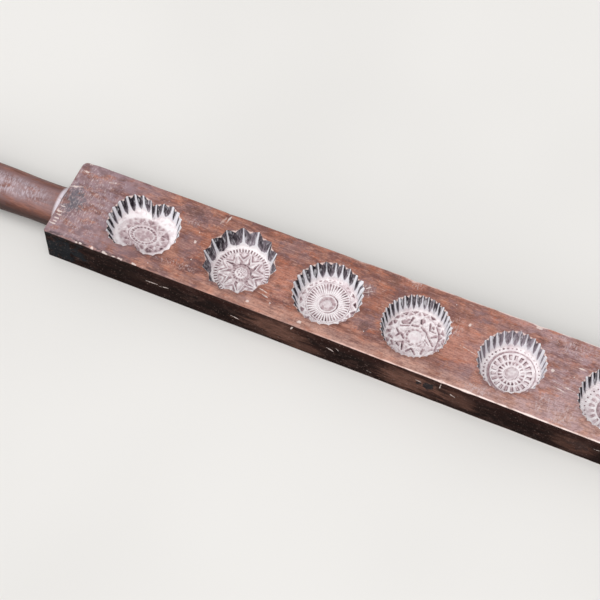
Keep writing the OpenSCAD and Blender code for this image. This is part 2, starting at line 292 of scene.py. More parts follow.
def pointed_star(x, y):
    """Star with creased points round a ringed disc, in a border of short strokes."""
    x, y = x - 0.6, y + 0.3
    r, angle = np.hypot(x, y), np.arctan2(y, x)
    patchy = uneven(x, y, 2.4, 6.2)
    inside, side, turn = ray_cut(r, angle, STAR_RAYS, 16.2, 9.6)
    inside = np.minimum(inside, r - 7.3)
    slope_share = side / (side + np.maximum(inside, 0.0) + 1e-6)
    ray_in = ease(inside, 0.0, 0.5)
    shaded = 0.34 + (0.20 + 0.42 * patchy) * ease(-turn, -0.03, 0.06)
    beside = np.minimum(ring_cut(-inside, 0.3, 2.5), ring_cut(r, 7.8, 16.3))
    height, shade = layered(
        (-1.25 * slope_share * ray_in, ray_in * shaded * ease(slope_share, 0.1, 0.6)),
        cut(beside, 0.8, 0.44 + 0.28 * patchy, 0.8, 0.9),
        cut(np.minimum(-inside - 0.6, ring_cut(r, 11.0, 16.6)), 0.35, 0.36 * patchy, 0.8),
        cut(0.5 - np.abs(r - 16.6), 0.4, 0.25 + 0.35 * patchy, 1.4),
        cut(slot_cut(r, angle, 54, 3, 17.0, 19.7, 0.64, 0.64), 0.8, 0.86 * lit(angle, 150, 0.85), 1.8, 0.4),
        cut(slot_cut(r, angle, 18, 0, 4.6, 6.4, 0.55, 0.55), 0.8, 1.15 * lit(angle, 215, 0.4), 1.8),
        cut(0.6 - np.abs(r - 6.95), 0.6, 1.05 * lit(angle, 60, 0.25), 1.6),
        cut(ring_cut(r, 4.2, 6.9), 0.4, 0.42),
    )
    grain = rough(np.column_stack((x, y, r)), 0.9, 3.1)
    middle = dome(r, 3.9, 0.8) * (1.0 + 0.35 * grain)
    shade = np.maximum(shade, 0.65 * ease(-r, -3.9, -3.0) * ease(grain, -0.3, 0.3))
    return height + middle + bead(r, 7.6, 0.5, 0.3), shade


def fan(x, y):
    """Fan of narrow blades round a ringed boss, with a soft zigzag beyond a thin ring."""
    x, y = x + 0.3, y - 0.6
    y = y - 1.2 * ease(np.hypot(x, y), 6.0, 15.0)
    r, angle = np.hypot(x, y), np.arctan2(y, x)
    patchy = uneven(x, y, 3.2, 1.7)
    outward = 0.6 + 0.4 * ease(r, 9.5, 13.0)
    beyond = zigzag(r, angle, 16, 6, 16.2, 19.6)
    height, shade = layered(
        cut(3.0 - r, 0.0, 0.14 + 0.2 * patchy),
        cut(ring_cut(r, 2.9, 6.0), 0.9, (0.34 + 0.22 * patchy) * lit(angle, 60, 0.8)),
        cut(0.4 - np.abs(r - 3.3), 0.5, 0.6 * lit(angle, 100, 0.4), 1.6),
        cut(0.6 - np.abs(r - 7.2), 0.6, 0.95 * lit(angle, 8, 0.4) ** 2, 1.6),
        cut(0.4 - np.abs(r - 5.2), 0.4, 0.7 * patchy, 1.6),
        cut(slot_cut(r, angle, 42, 2, 7.9, 15.0, 0.34, 0.64), 1.0, (0.5 + 0.4 * patchy) * outward, 1.8, 0.3),
        cut(0.42 - np.abs(r - 15.9), 0.4, 0.4 + 0.35 * patchy, 1.4),
        cut(np.minimum(beyond - 0.3, 20.4 - r), 1.0, (0.45 + 0.6 * patchy) * lit(angle, 10, 0.65), 0.8, 0.7),
        cut(np.minimum(-beyond - 0.3, r - 16.4), 0.8, (0.25 + 0.5 * patchy) * lit(angle, 10, 0.6), 0.8, 0.7),
    )
    return height + dome(r, 2.9, 0.9) + bead(r, 15.3, 0.5, 0.4) + bead(r, 7.9, 0.6, 0.3), shade


# Strokes of the gouge in the chip-carved floor: two ends, the half width at each, and the strength of their
# tint, which is bare wood and painted shade
GOUGES = (
    ((-12.5, 5.1), (-7.2, 6.9), 0.40, 0.50, 0.85), ((-11.9, 8.2), (-8.6, 11.6), 1.10, 0.50, 0.75),
    ((-7.2, 8.9), (-6.3, 13.9), 0.45, 0.65, 0.95), ((-4.8, 8.1), (-1.0, 9.2), 0.55, 0.50, 0.95),
    ((1.9, 8.9), (6.1, 6.9), 0.55, 0.65, 0.80), ((6.1, 6.9), (9.3, 2.8), 0.70, 0.60, 0.70),
    ((9.3, 2.8), (14.0, -1.6), 0.60, 0.50, 0.80), ((6.6, 13.9), (7.8, 9.2), 0.60, 0.40, 0.85),
    ((0.7, 13.8), (0.6, 12.2), 1.60, 0.90, 0.95), ((9.4, 11.9), (9.9, 11.2), 0.75, 0.55, 0.95),
    ((8.7, 8.9), (12.2, 8.6), 0.40, 0.35, 0.80), ((10.8, 3.9), (13.4, 6.0), 0.40, 1.00, 0.80),
    ((11.6, 13.1), (14.6, 9.2), 0.50, 0.60, 0.80), ((14.6, 9.2), (16.4, 4.0), 0.60, 0.55, 0.75),
    ((16.4, 4.0), (16.6, -4.6), 0.55, 0.45, 0.65), ((-13.9, 1.9), (-11.9, -0.4), 0.50, 0.40, 0.90),
    ((-12.4, -3.6), (-10.2, -0.6), 0.45, 0.65, 0.90), ((-8.4, -1.4), (-6.9, -3.6), 0.90, 0.45, 0.85),
    ((-6.3, -6.6), (-5.1, -12.0), 0.80, 0.40, 1.00), ((-11.2, -8.1), (-5.8, -6.3), 0.35, 0.50, 0.75),
    ((-9.4, -9.0), (-8.2, -9.8), 0.90, 0.70, 0.85), ((-13.9, -8.7), (-12.0, -10.9), 0.55, 0.45, 0.85),
    ((0.8, -9.3), (-1.6, -12.4), 0.45, 0.45, 0.90), ((1.2, -9.3), (4.8, -12.4), 0.60, 0.40, 0.90),
    ((9.0, -6.6), (8.6, -10.6), 0.65, 0.50, 0.80), ((-17.2, 6.6), (-16.8, 5.8), 0.85, 0.65, 0.85),
    ((-18.2, -1.6), (-17.6, -2.4), 0.75, 0.55, 0.85), ((12.6, -6.2), (14.6, -4.4), 0.35, 0.90, 0.55),
    ((4.6, -5.6), (8.4, -4.6), 0.35, 0.40, 0.45), ((-15.4, -5.6), (-14.2, -6.4), 0.70, 0.50, 0.70),
    ((-11.4, 7.2), (-8.2, 9.2), 0.30, 0.80, 0.70), ((11.0, -2.0), (8.0, 0.6), 0.20, 0.70, 0.60),
)


CHIP_RAYS = (18, 53, 88, 133, 176, 226, 272, 315)


def chip_star(x, y):
    """Irregular star of gouged strokes and pits, between a ring of dots and a zigzag."""
    patchy = uneven(x, y, 2.6, 9.1)
    cuts, ridge = [], 0.0
    for start, end, half_start, half_end, bare_and_shade in GOUGES:
        inside, flank = gouge_cut(x, y, start, end, half_start + 0.6, half_end + 0.6)
        cuts.append(cut(inside, 1.0, bare_and_shade * (0.58 + 0.5 * flank), 1.2, 0.7))
        ridge = np.maximum(ridge, ease(0.45 - np.abs(inside + 0.3), 0.0, 0.4))
    x, y = x + 0.1, y - 0.3
    r, angle = np.hypot(x, y), np.arctan2(y, x)
    inside, _, turn = ray_cut(r, angle, CHIP_RAYS, 15.8, 8.8)
    shaded = ease(turn, -0.05, 0.05)
    beyond = zigzag(r, angle, 18, 0, 16.8, 20.2)
    height, shade = layered(
        *cuts,
        cut(np.minimum(0.7 - np.abs(inside), r - 8.4), 0.7, 0.08 + 0.3 * patchy, 1.2),
        cut(np.minimum(inside - 0.6, r - 8.8), 0.5, 0.26 * shaded, 0.6),
        cut(np.minimum(-inside - 0.8, ring_cut(r, 11.0, 15.8)), 0.8, 0.05 + 0.2 * patchy, 0.8),
        cut(0.4 - np.abs(r - 7.5), 0.5, 0.2 + 0.5 * patchy, 1.6),
        cut(ring_cut(r, 4.3, 6.4), 0.5, (0.20 + 0.3 * patchy) * lit(angle, 170, 0.5), 1.2),
        cut(dot_cut(r, angle, 12, 5, 5.6, 1.1), 0.8, (0.55 + 0.4 * patchy) * lit(angle, 190, 0.4), 1.6),
        cut(np.minimum(beyond - 0.2, 21.0 - r), 1.0, (0.36 + 0.6 * patchy) * lit(angle, 80, 0.7), 0.8, 0.7),
        cut(np.minimum(-beyond - 0.2, r - 16.6), 0.9, (0.20 + 0.5 * patchy) * lit(angle, 80, 0.7), 0.8, 0.7),
    )
    shade = np.maximum(shade, (0.12 + 0.18 * patchy) * ease(r, 4.3, 4.9) * (1.0 - ridge))
    return height + dome(r, 4.4, 1.3) + bead(r, 7.0, 0.5, 0.25), shade


def wheel(x, y):
    """Wheel of wedges and slots round a flat boss, inside a ring groove and a ring of dots."""
    x, y = x - 0.6, y - 0.4
    y = y - 0.5 * ease(np.hypot(x, y), 5.0, 16.0)
    r, angle = np.hypot(x, y), np.arctan2(y, x)
    turned = pitches(angle, 20, 3)
    patchy = uneven(x, y, 2.4, 4.6)
    groove_in = 15.0 + 1.2 * (1.0 - lit(angle, 205, 0.0))
    slots = slot_cut(r, angle, 20, 3, 10.3, 14.4, 0.60, 0.54)
    wedges = chip_cut(r, angle, 20, 8, 5.5, 9.3, 0.92)
    height, shade = layered(
        cut(ring_cut(r, groove_in, 17.4), 0.9, 0.48 + 0.12 * patchy, 1.0, 0.5),
        cut(ring_cut(r, groove_in, groove_in + 0.8), 0.9, 0.9 * lit(angle, 215, 0.0) ** 2, 1.4, 0.35),
        cut(slots, 0.9, 0.20 + 0.25 * patchy, 1.5),
        cut(slot_cut(r, angle, 40, 7.5, 10.4, 14.3, 0.50, 0.46) - 9.0 * (turned < 0.0), 1.1, 1.15, 1.8),
        cut(np.minimum(slots, r - 13.3), 1.0, 0.6 + 0.5 * patchy, 1.8),
        cut(wedges, 1.0, (0.65 + 0.5 * patchy) * lit(angle, 220, 0.55), 1.5),
        cut(dot_cut(r, angle, 40, 0, 19.3, 0.8), 0.7, 0.72 + 0.4 * patchy, 2.0, 0.4),
        cut(0.4 - np.abs(r - 5.0), 0.4, 0.55, 1.6),
    )
    boss_top = 0.75 * (1.0 - ease(r, 4.3, 4.9))
    boss_shade = 0.24 + 0.26 * lit(angle, 170, 0.0) * ease(r, 1.0, 4.4)
    shade = np.maximum(shade, boss_shade * (1.0 - ease(r, 4.2, 4.7)))
    return height + boss_top + bead(r, 9.8, 0.5, 0.25) + bead(r, 14.9, 0.5, 0.3), shade


def band(x, y):
    """Band of slots round a sunken ring with a boss, and a ring of dots."""
    r, angle = np.hypot(x, y), np.arctan2(y, x)
    patchy = uneven(x, y, 2.6, 7.3)
    slots = slot_cut(r, angle, 20, 4, 11.0, 15.3, 0.60, 0.54)
    height, shade = layered(
        cut(ring_cut(r, 4.6, 9.7), 1.1, 0.45 + 0.4 * patchy),
        cut(0.5 - np.abs(r - 9.5), 0.9, 0.6 + 0.4 * patchy, 1.6),
        cut(slots, 0.9, 0.25 + 0.3 * patchy, 1.5),
        cut(np.minimum(slots, 0.55 - slots), 0.9, 0.6 + 0.5 * patchy, 1.8),
        cut(dot_cut(r, angle, 34, 0, 17.9, 0.72), 0.6, 0.8 + 0.35 * patchy, 2.0),
    )
    return height + dome(r, 4.4, 0.9) + bead(r, 10.4, 0.5, 0.3), shade


WELLS = (
    Well("lobed", -112.5, 26.8, 22.0, 10.0, 14.6, 26, 1.7, 4.2, 4, sunburst,
         ((4.0, 0.8, 60), (9.0, 0.62, 132), (16.5, 0.5, 240), (21.4, 0.55, 240)),
         bare_foot=0.10, bare_share=0.88, bare_light=-0.1, seed=11),
    Well("star", -38.5, 26.5, 26.5, 0.0, 16.5, 14, 3.2, 5.3, 7, pointed_star,
         ((4.0, 0.45, 60), (7.6, 0.40, 132), (16.6, 0.42, 252), (20.0, 0.42, 408)),
         phases=(0.0, 0.04, 0.10, 0.18, 0.28, 0.39, 0.5, 0.61, 0.72, 0.82, 0.90, 0.96),
         ridge_wear=0.7, bare_foot=0.09, bare_share=0.92, bare_taper=0.10, bare_light=0.2, side_flour_and_light=0.25,
         seed=12),
    Well("fan", 28.0, 25.2, 25.2, 0.0, 16.6, 26, 1.7, 4.1, 3, fan,
         ((4.0, 0.45, 60), (7.6, 0.45, 120), (14.8, 0.45, 336), (20.0, 0.42, 280)),
         rim_chips=((40, 9, 1.6), (28, 5, 0.8), (-12, 6, 0.7)), bare_foot=0.13, bare_share=0.86, seed=13),
    Well("chip", 93.5, 24.7, 24.7, 0.0, 16.2, 36, 1.5, 3.1, 9, chip_star,
         ((4.4, 0.45, 64), (8.0, 0.40, 160), (16.4, 0.40, 288), (20.5, 0.42, 288)),
         rim_chips=((15, 10, 0.8), (33, 5, 0.6)), bare_foot=0.13, bare_share=0.88, seed=14),
    Well("wheel", 164.0, 24.3, 24.3, 0.0, 18.0, 28, 1.6, 3.1, 6, wheel,
         ((4.9, 0.50, 60), (9.5, 0.45, 160), (15.2, 0.45, 240), (20.1, 0.42, 280)),
         rim_chips=((97, 6, 0.7), (-30, 6, 0.6)), bare_foot=0.10, bare_share=0.88, bare_light=1.1, seed=15),
    Well("band", 237.0, 24.5, 24.5, 0.0, 17.0, 30, 1.6, 2.9, 2, band,
         ((4.6, 0.50, 60), (10.0, 0.50, 120), (15.4, 0.45, 240), (20.5, 0.42, 272)),
         bare_foot=0.11, bare_share=0.88, seed=16),
)


# Drawing of meshes

class Draft:
    """Points, faces and painted values of one piece while it is drawn."""

    def __init__(self):
        self.points, self.faces = [], []
        self.paint = {name: [] for name in PAINTS}
        self.count = 0

    def loop(self, points, **paint):
        """Adds points with their painted values and returns their numbers."""
        points = np.asarray(points, float)
        self.points.append(points)
        for name in PAINTS:
            self.paint[name].append(np.broadcast_to(paint.get(name, 0.0), len(points)).astype(float))
        numbers = np.arange(self.count, self.count + len(points))
        self.count += len(points)
        return numbers

    def span(self, inner, outer):
        """Quads between two closed loops of equal count; the loops' order says which way they face."""
        for i in range(len(inner)):
            j = (i + 1) % len(inner)
            self.faces.append((inner[i], outer[i], outer[j], inner[j]))

    def zip(self, inner, inner_angles, outer, outer_angles):
        """Triangles between two closed loops of any counts, each ordered by angle."""
        start = int(np.argmin(np.abs((outer_angles - inner_angles[0] + math.pi) % TURN - math.pi)))
        outer = np.roll(outer, -start)
        shifted = np.roll(outer_angles, -start)
        lead = (shifted[0] - inner_angles[0] + math.pi) % TURN - math.pi
        outer_turn = lead + (shifted - shifted[0]) % TURN
        inner_turn = (inner_angles - inner_angles[0]) % TURN
        i = j = 0
        while i < len(inner) or j < len(outer):
            next_in = inner_turn[i + 1] if i + 1 < len(inner) else TURN
            next_out = outer_turn[j + 1] if j + 1 < len(outer) else TURN + lead
            a, b = inner[i % len(inner)], outer[j % len(outer)]
            if j >= len(outer) or (i < len(inner) and next_in <= next_out):
                self.faces.append((a, b, inner[(i + 1) % len(inner)]))
                i += 1
            else:
                self.faces.append((a, b, outer[(j + 1) % len(outer)]))
                j += 1

    def fan_in(self, middle, ring):
        """Triangles between a middle point and the closed loop round it."""
        for i in range(len(ring)):
            self.faces.append((middle, ring[i], ring[(i + 1) % len(ring)]))

    def piece(self, name, sharp_angle):
        """The finished mesh object, in metres."""
        mesh = bpy.data.meshes.new(name)
        faces = [tuple(map(int, face)) for face in self.faces]
        mesh.from_pydata((np.vstack(self.points) * MM).tolist(), [], faces)
        for paint_name, values in self.paint.items():
            layer = mesh.attributes.new(paint_name, "FLOAT", "POINT")
            layer.data.foreach_set("value", np.concatenate(values))
        mesh.validate()
        mesh.shade_smooth()
        mesh.set_sharp_from_angle(angle=math.radians(sharp_angle))
        made = bpy.data.objects.new(name, mesh)
        bpy.context.scene.collection.objects.link(made)
        return made


def board_share(x):
    return (np.asarray(x) - BOARD_START) / (BOARD_END - BOARD_START)


def plane_top(x):
    """Height of the top face before wear."""
    return THICK_NEAR + (THICK_FAR - THICK_NEAR) * board_share(x)


# Dents in the top face: place, radius and depth
DENTS = (
    (-7.0, -8.2, 3.4, 0.5), (-60.5, 26.5, 2.6, 0.3), (64.0, -12.0, 6.0, 0.35), (80.0, 31.0, 5.0, 0.4),
    (125.2, 15.8, 1.6, 0.4), (-77.0, -16.0, 7.0, 0.3), (144.0, -31.0, 5.0, 0.4), (203.0, -4.0, 6.0, 0.3),
    (-160.0, -4.0, 8.0, 0.3), (270.0, 8.0, 7.0, 0.35), (284.0, -18.0, 4.0, 0.4), (52.0, 14.0, 3.6, 0.5),
)


def worn_top(x, y):
    """Height of the top face, planed by hand and worn."""
    x, y = np.asarray(x, float), np.asarray(y, float)
    flat = np.column_stack((x, y, np.zeros_like(x)))
    sunk = 0.10 * rough(flat, (38.0, 13.0, 1.0), 5.3) + 0.05 * rough(flat, (9.0, 2.6, 1.0), 8.1)
    for dent_x, dent_y, radius, depth in DENTS:
        away = np.hypot((x - dent_x) * 0.8, y - dent_y) / radius
        sunk = sunk + depth * np.clip(1.0 - away ** 2, 0.0, 1.0) ** 2
    return plane_top(x) - TOP_SINK - np.maximum(sunk, 0.03 - TOP_SINK)


@dataclass
class Flutes:
    """Places round a fluted wall: from a groove's bottom (0) to a ridge (1), and how each ridge differs."""
    angles: np.ndarray
    ridge: np.ndarray
    drift: np.ndarray
    reach: np.ndarray
    breadth: np.ndarray
    tooth: np.ndarray


def flutes_of(well):
    chance = np.random.default_rng(well.seed)
    steps = np.arange(well.grooves) + chance.uniform(-0.09, 0.09, well.grooves)
    bottoms = math.radians(well.first_groove) + TURN / well.grooves * steps
    widths = (np.roll(bottoms, -1) - bottoms) % TURN
    phases = np.array(well.phases)
    angles = (bottoms[:, None] + widths[:, None] * phases[None, :]).ravel()
    ridge = np.tile(1.0 - np.abs(1.0 - 2.0 * phases), well.grooves)

    def each(low, high):
        return np.repeat(chance.uniform(low, high, well.grooves), len(phases))

    # Painted light and shade: the first half of each tooth is lighter, as a lit facet, and teeth on the left
    # wall are darker, as if in shade.
    painted_light_and_shade = np.tile(np.where(phases < 0.5, 0.4, 0.0), well.grooves)
    painted_light_and_shade = painted_light_and_shade - 0.35 * ease(-np.cos(angles), 0.2, 0.9)
    tooth = np.clip(0.7 + well.bare_light + painted_light_and_shade + each(-0.35, 0.35), 0.0, 2.0)
    return Flutes(angles, ridge, each(-0.22, 0.22), each(-0.06, 0.09), each(0.86, 1.1), tooth)


def bare_wall(well, flutes, level):
    """How bare of flour a wall is: over 0.5 on the teeth that its ridges show, which taper to their feet."""
    # The left and right walls change the teeth. On the right wall, which faces the key lamp, the narrower
    # and shorter teeth are painted light.
    left = ease(-np.cos(flutes.angles), 0.4, 1.0)
    right = ease(np.cos(flutes.angles), 0.2, 0.95)
    foot = well.bare_foot + flutes.reach - 0.08 * left + 0.05 * right
    share = well.bare_share * flutes.breadth * (0.84 + 0.26 * level)
    share = share * (1.0 - well.side_flour_and_light * (0.30 * left + 0.6 * right))
    grown = np.clip((level - foot) / well.bare_taper, 0.0, 1.0) ** 0.35
    half_pitch = math.pi * mouth_reach(well, flutes.angles) / well.grooves
    inside = (flutes.ridge - 1.0 + share * grown) * half_pitch - 0.25 * (1.0 - grown)
    soft = 1.35 + 1.2 * (1.0 - ease(level - foot, 0.0, 0.35))
    return np.clip(0.5 + inside / soft, 0.0, 1.0)


def floor_ring(well, radius, count):
    """One ring of a floor: rings follow an oval inside the lobes and settle onto the foot of the wall."""
    angles = math.radians(well.first_groove) + TURN * np.arange(count) / count
    long, short = foot_reach(well, 0.0), foot_reach(well, math.pi / 2.0)
    share = radius / long
    oval = 1.0 / np.hypot(np.cos(angles) / long, np.sin(angles) / short)
    settle = ease(share, 0.72, 1.0)
    reach = share * (oval * (1.0 - settle) + foot_reach(well, angles) * settle)
    return angles, reach * np.cos(angles), reach * np.sin(angles)


def carved_floor(well, x, y):
    """Heights, tints and flour of floor places, with the carver's unsteady hand."""
    flat = np.column_stack((x, y, np.zeros_like(x)))
    sway_x = 0.18 * rough(flat, 5.0, well.seed + 0.3) + 0.12 * rough(flat, 1.5, well.seed + 1.9)
    sway_y = 0.18 * rough(flat, 5.0, well.seed + 7.7) + 0.12 * rough(flat, 1.5, well.seed + 6.1)
    height, shade = well.carving(x + sway_x, y + sway_y)
    caked = 0.70 + 0.38 * ease(rough(flat, 1.6, well.seed + 5.1), -0.5, 0.4)
    # Low places get a faint tint: thin flour, and painted shade in the hollows.
    thin_flour_and_shade = 0.22 * ease(rough(flat, (2.6, 2.6, 1.0), well.seed + 2.9), 0.0, 0.5)
    thin_flour_and_shade = thin_flour_and_shade * ease(-height, -0.5, -0.1)
    return height + 0.07 * rough(flat, 1.7, well.seed + 3.5), np.maximum(shade * caked, thin_flour_and_shade)


def draw_well(draft, well):
    """Draws floor, wall and rim of a well and returns the numbers of its outermost loop."""
    floor_z = plane_top(well.x) - well.depth
    rings = []
    start = 0.0
    last = foot_reach(well, 0.0) - 0.25
    for outer, step, count in well.zones:
        outer = min(outer, last)
        steps = max(1, round((outer - start) / step))
        rings += [(start + (outer - start) * (k + 1) / steps, count) for k in range(steps)]
        start = outer
    height, shade = carved_floor(well, np.zeros(1), np.zeros(1))
    middle = draft.loop([(well.x, 0.0, floor_z + height[0])], recess=shade, dust=0.2)
    before = None
    for radius, count in rings:
        angles, x, y = floor_ring(well, radius, count)
        height, shade = carved_floor(well, x, y)
        near_wall = ease(radius / last, 0.86, 1.0)
        ring = draft.loop(np.column_stack((well.x + x, y, floor_z + height)),
                          recess=shade, dust=0.12 + 0.5 * near_wall)
        if before is None:
            draft.fan_in(middle[0], ring)
        elif len(before[0]) == len(ring):
            draft.span(before[0], ring)
        else:
            draft.zip(before[0], before[1], ring, angles)
        before = ring, angles

    flutes = flutes_of(well)
    angles, ridge = flutes.angles, flutes.ridge
    chip_out = np.zeros_like(angles)
    for chip_angle, chip_width, chip_size in well.rim_chips:
        away = np.abs((angles - math.radians(chip_angle) + math.pi) % TURN - math.pi)
        chip_out += chip_size * np.clip(1.0 - (away / math.radians(chip_width)) ** 2, 0.0, 1.0)
    mouth = mouth_reach(well, angles)

    def wall_loop(level, outward=0.0, sink=0.0, rim=False, edge=0.0, grime=0.0):
        groove = GROOVE_FOOT + (well.groove_depth - GROOVE_FOOT) * level
        foot = FOOT_ROUND * math.exp(-level * well.depth / FOOT_ROUND)
        reach = mouth - well.lean * (1.0 - level) - ridge * groove - foot
        reach = reach + flutes.drift * (1.0 - ridge) * ease(level, 0.0, 0.4)
        reach = reach + chip_out * ease(level, 0.72, 1.0) + outward
        x, y = well.x + reach * np.cos(angles), reach * np.sin(angles)
        top = worn_top(x, y)
        worn_down = 0.0 if rim else sink + well.ridge_wear * ridge ** 2 * ease(level, 0.7, 1.0)
        z = floor_z + (top - floor_z) * level - worn_down
        return draft.loop(np.column_stack((x, y, z)), level=ON_TOP if rim else level, lip=edge,
                          grime=grime, tooth=flutes.tooth, bare=bare_wall(well, flutes, level),
                          dust=0.5 * (1.0 - ease(level, 0.0, 0.3)))

    foot = wall_loop(WALL_LEVELS[0])
    draft.zip(before[0], before[1], foot, angles)
    below = foot
    for level in WALL_LEVELS[1:]:
        ring = wall_loop(level)
        draft.span(below, ring)
        below = ring
    rounded = RIM_ROUND * (0.6 + 0.9 * ridge ** 2)
    # The lip paint makes the rim pale: wear, and a painted highlight.
    below_rim = wall_loop(1.0, outward=0.1, sink=0.22, edge=0.2 + 0.8 * ridge ** 2)
    draft.span(below, below_rim)
    rim = wall_loop(1.0, outward=rounded, rim=True, edge=0.15 + 0.6 * ridge ** 2)
    draft.span(below_rim, rim)
    # Painted shadow: just outside the front half of the rim, the top takes the dark side colour.
    shaded = 0.3 * ease(-np.sin(angles), 0.1, 0.9)
    past_rim = wall_loop(1.0, outward=rounded + 0.35, rim=True, grime=shaded)
    draft.span(rim, past_rim)
    return past_rim


# Radii of the board's upright corners, from the handle's front corner on
CORNERS = (1.8, 4.0, 4.0, 4.8)
# How far the sawn end at the handle stands out at its front corner and back at its other one
END_SKEW = 0.9


def board_outline():
    """Points of the board's plan and their outward directions, from the handle's front corner on."""
    near, far = WIDTH_NEAR / 2.0, WIDTH_FAR / 2.0
    tips = ((BOARD_START - END_SKEW, -near), (BOARD_END, -far),
            (BOARD_END, far), (BOARD_START + END_SKEW, near))
    arcs = []
    for (x, y), radius, turn in zip(tips, CORNERS, (180.0, 270.0, 0.0, 90.0)):
        angles = np.radians(turn + 90.0 * np.arange(CORNER_STEPS + 1) / CORNER_STEPS)
        outward = np.column_stack((np.cos(angles), np.sin(angles)))
        middle = np.array((x - math.copysign(radius, x), y - math.copysign(radius, y)))
        arcs.append((middle + radius * outward, outward))
    points, normals = [], []
    for index, (arc, outward) in enumerate(arcs):
        points.append(arc)
        normals.append(outward)
        start, end = arc[-1], arcs[(index + 1) % len(arcs)][0][0]
        steps = max(2, round(float(np.linalg.norm(end - start)) / OUTLINE_STEP))
        points.append(start + (end - start) * np.arange(1, steps)[:, None] / steps)
        normals.append(np.tile(outward[-1], (steps - 1, 1)))
    return np.vstack(points), np.vstack(normals)


# Chips knocked out of the top edge: place along the board, front (-1) or back (1), length and depth
EDGE_CHIPS = (
    (-151.0, -1, 3.0, 1.2), (-138.0, -1, 3.5, 1.6), (-126.0, -1, 4.0, 1.5), (-115.0, -1, 3.5, 1.7),
    (-99.0, -1, 3.0, 1.4), (125.5, -1, 2.2, 1.4), (143.0, -1, 5.0, 1.2), (190.0, -1, 6.0, 1.0),
    (-60.0, 1, 9.0, 1.2), (-10.0, 1, 5.0, 0.9), (40.0, 1, 7.0, 1.1), (80.0, 1, 8.0, 1.6),
    (172.0, 1, 6.0, 1.2), (226.0, 1, 9.0, 1.4), (-168.0, 1, 5.0, 1.5), (262.0, -1, 8.0, 1.3),
    (288.0, 1, 6.0, 1.2),
)
# Dents in the front face: place along the board, height, radius and depth
SIDE_DENTS = (
    (118.0, 18.5, 9.0, 0.7), (227.0, 16.0, 9.0, 0.8), (-95.0, 13.0, 5.0, 0.4), (-30.0, 14.0, 7.0, 0.5),
    (46.0, 20.0, 6.0, 0.4), (168.0, 22.0, 5.0, 0.35), (-150.0, 12.0, 9.0, 0.5),
)


def edge_rounds(outline, wear):
    """How far the top edge is worn back at each point of the outline."""
    x, y = outline[:, 0], outline[:, 1]
    flat = np.column_stack((x, y, np.zeros_like(x)))
    back = EDGE_ROUND + 0.35 * rough(flat, (14.0, 14.0, 1.0), wear)
    back = back + 0.25 * rough(flat, (4.0, 6.0, 1.0), wear + 4.0)
    for place, side, length, depth in EDGE_CHIPS:
        near = np.clip(1.0 - np.abs(x - place) / length, 0.0, 1.0) * (np.sign(y) == side)
        back = back + depth * near
    return np.maximum(back, 0.6)


def side_wear(points):
    """How far the side faces are worn in."""
    x, y, z = points.T
    sunk = 0.16 + 0.16 * rough(points, (30.0, 30.0, 7.0), 2.2)
    sunk = sunk + 0.06 * rough(points, (6.0, 6.0, 1.6), 6.2)
    for place, height, radius, depth in SIDE_DENTS:
        away = np.hypot((x - place) * 0.6, z - height) / radius
        sunk = sunk + depth * np.clip(1.0 - away ** 2, 0.0, 1.0) ** 2 * (y < 0.0)
    return np.maximum(sunk, 0.0)


def inside_loop(places, loop):
    """Which places lie inside a closed loop in plan."""
    x, y = places[:, 0][:, None], places[:, 1][:, None]
    ax, ay = loop[:, 0][None, :], loop[:, 1][None, :]
    bx, by = np.roll(ax, -1, axis=1), np.roll(ay, -1, axis=1)
    crosses = ((ay > y) != (by > y)) & (x < (bx - ax) * (y - ay) / (by - ay + 1e-12) + ax)
    return crosses.sum(axis=1) % 2 == 1


def fill_face(draft, outer, holes, spots, flip):
    """Triangles of a face between an outer loop, its holes and loose spots, given by their numbers."""
    everything = np.vstack(draft.points)
    loops = [outer] + holes
    numbers = np.concatenate(loops + [spots])
    plan = everything[numbers, :2]
    edges = []
    start = 0
    for loop in loops:
        edges += [(start + i, start + (i + 1) % len(loop)) for i in range(len(loop))]
        start += len(loop)
    _, _, faces, sources, _, _ = delaunay_2d_cdt([Vector(p) for p in plan], edges, [], 0, 1e-6)
    faces = np.array([[sources[k][0] for k in face] for face in faces])
    middles = plan[faces].mean(axis=1)
    keep = inside_loop(middles, everything[outer, :2])
    for hole in holes:
        keep &= ~inside_loop(middles, everything[hole, :2])
    for face in numbers[faces[keep]]:
        draft.faces.append(tuple(face[::-1]) if flip else tuple(face))


def face_spots(outline_inset, grid, clear_of):
    """A staggered grid of places inside the board's plan that keep clear of the mouths."""
    rows = []
    for row, y in enumerate(np.arange(-WIDTH_FAR / 2.0, WIDTH_FAR / 2.0, grid * ROW_SHARE)):
        x = np.arange(BOARD_START, BOARD_END, grid) + (row % 2) * grid / 2.0
        rows.append(np.column_stack((x, np.full_like(x, y))))
    spots = np.vstack(rows)
    spots = spots[inside_loop(spots, outline_inset)]
    for well in clear_of:
        away = spots - (well.x, 0.0)
        angles = np.arctan2(away[:, 1], away[:, 0])
        room = mouth_reach(well, angles) + RIM_ROUND + GRID_MARGIN
        for chip_angle, chip_width, chip_size in well.rim_chips:
            off = np.abs((angles - math.radians(chip_angle) + math.pi) % TURN - math.pi)
            room = room + chip_size * (off < math.radians(chip_width))
        spots = spots[np.hypot(away[:, 0], away[:, 1]) > room]
    return spots


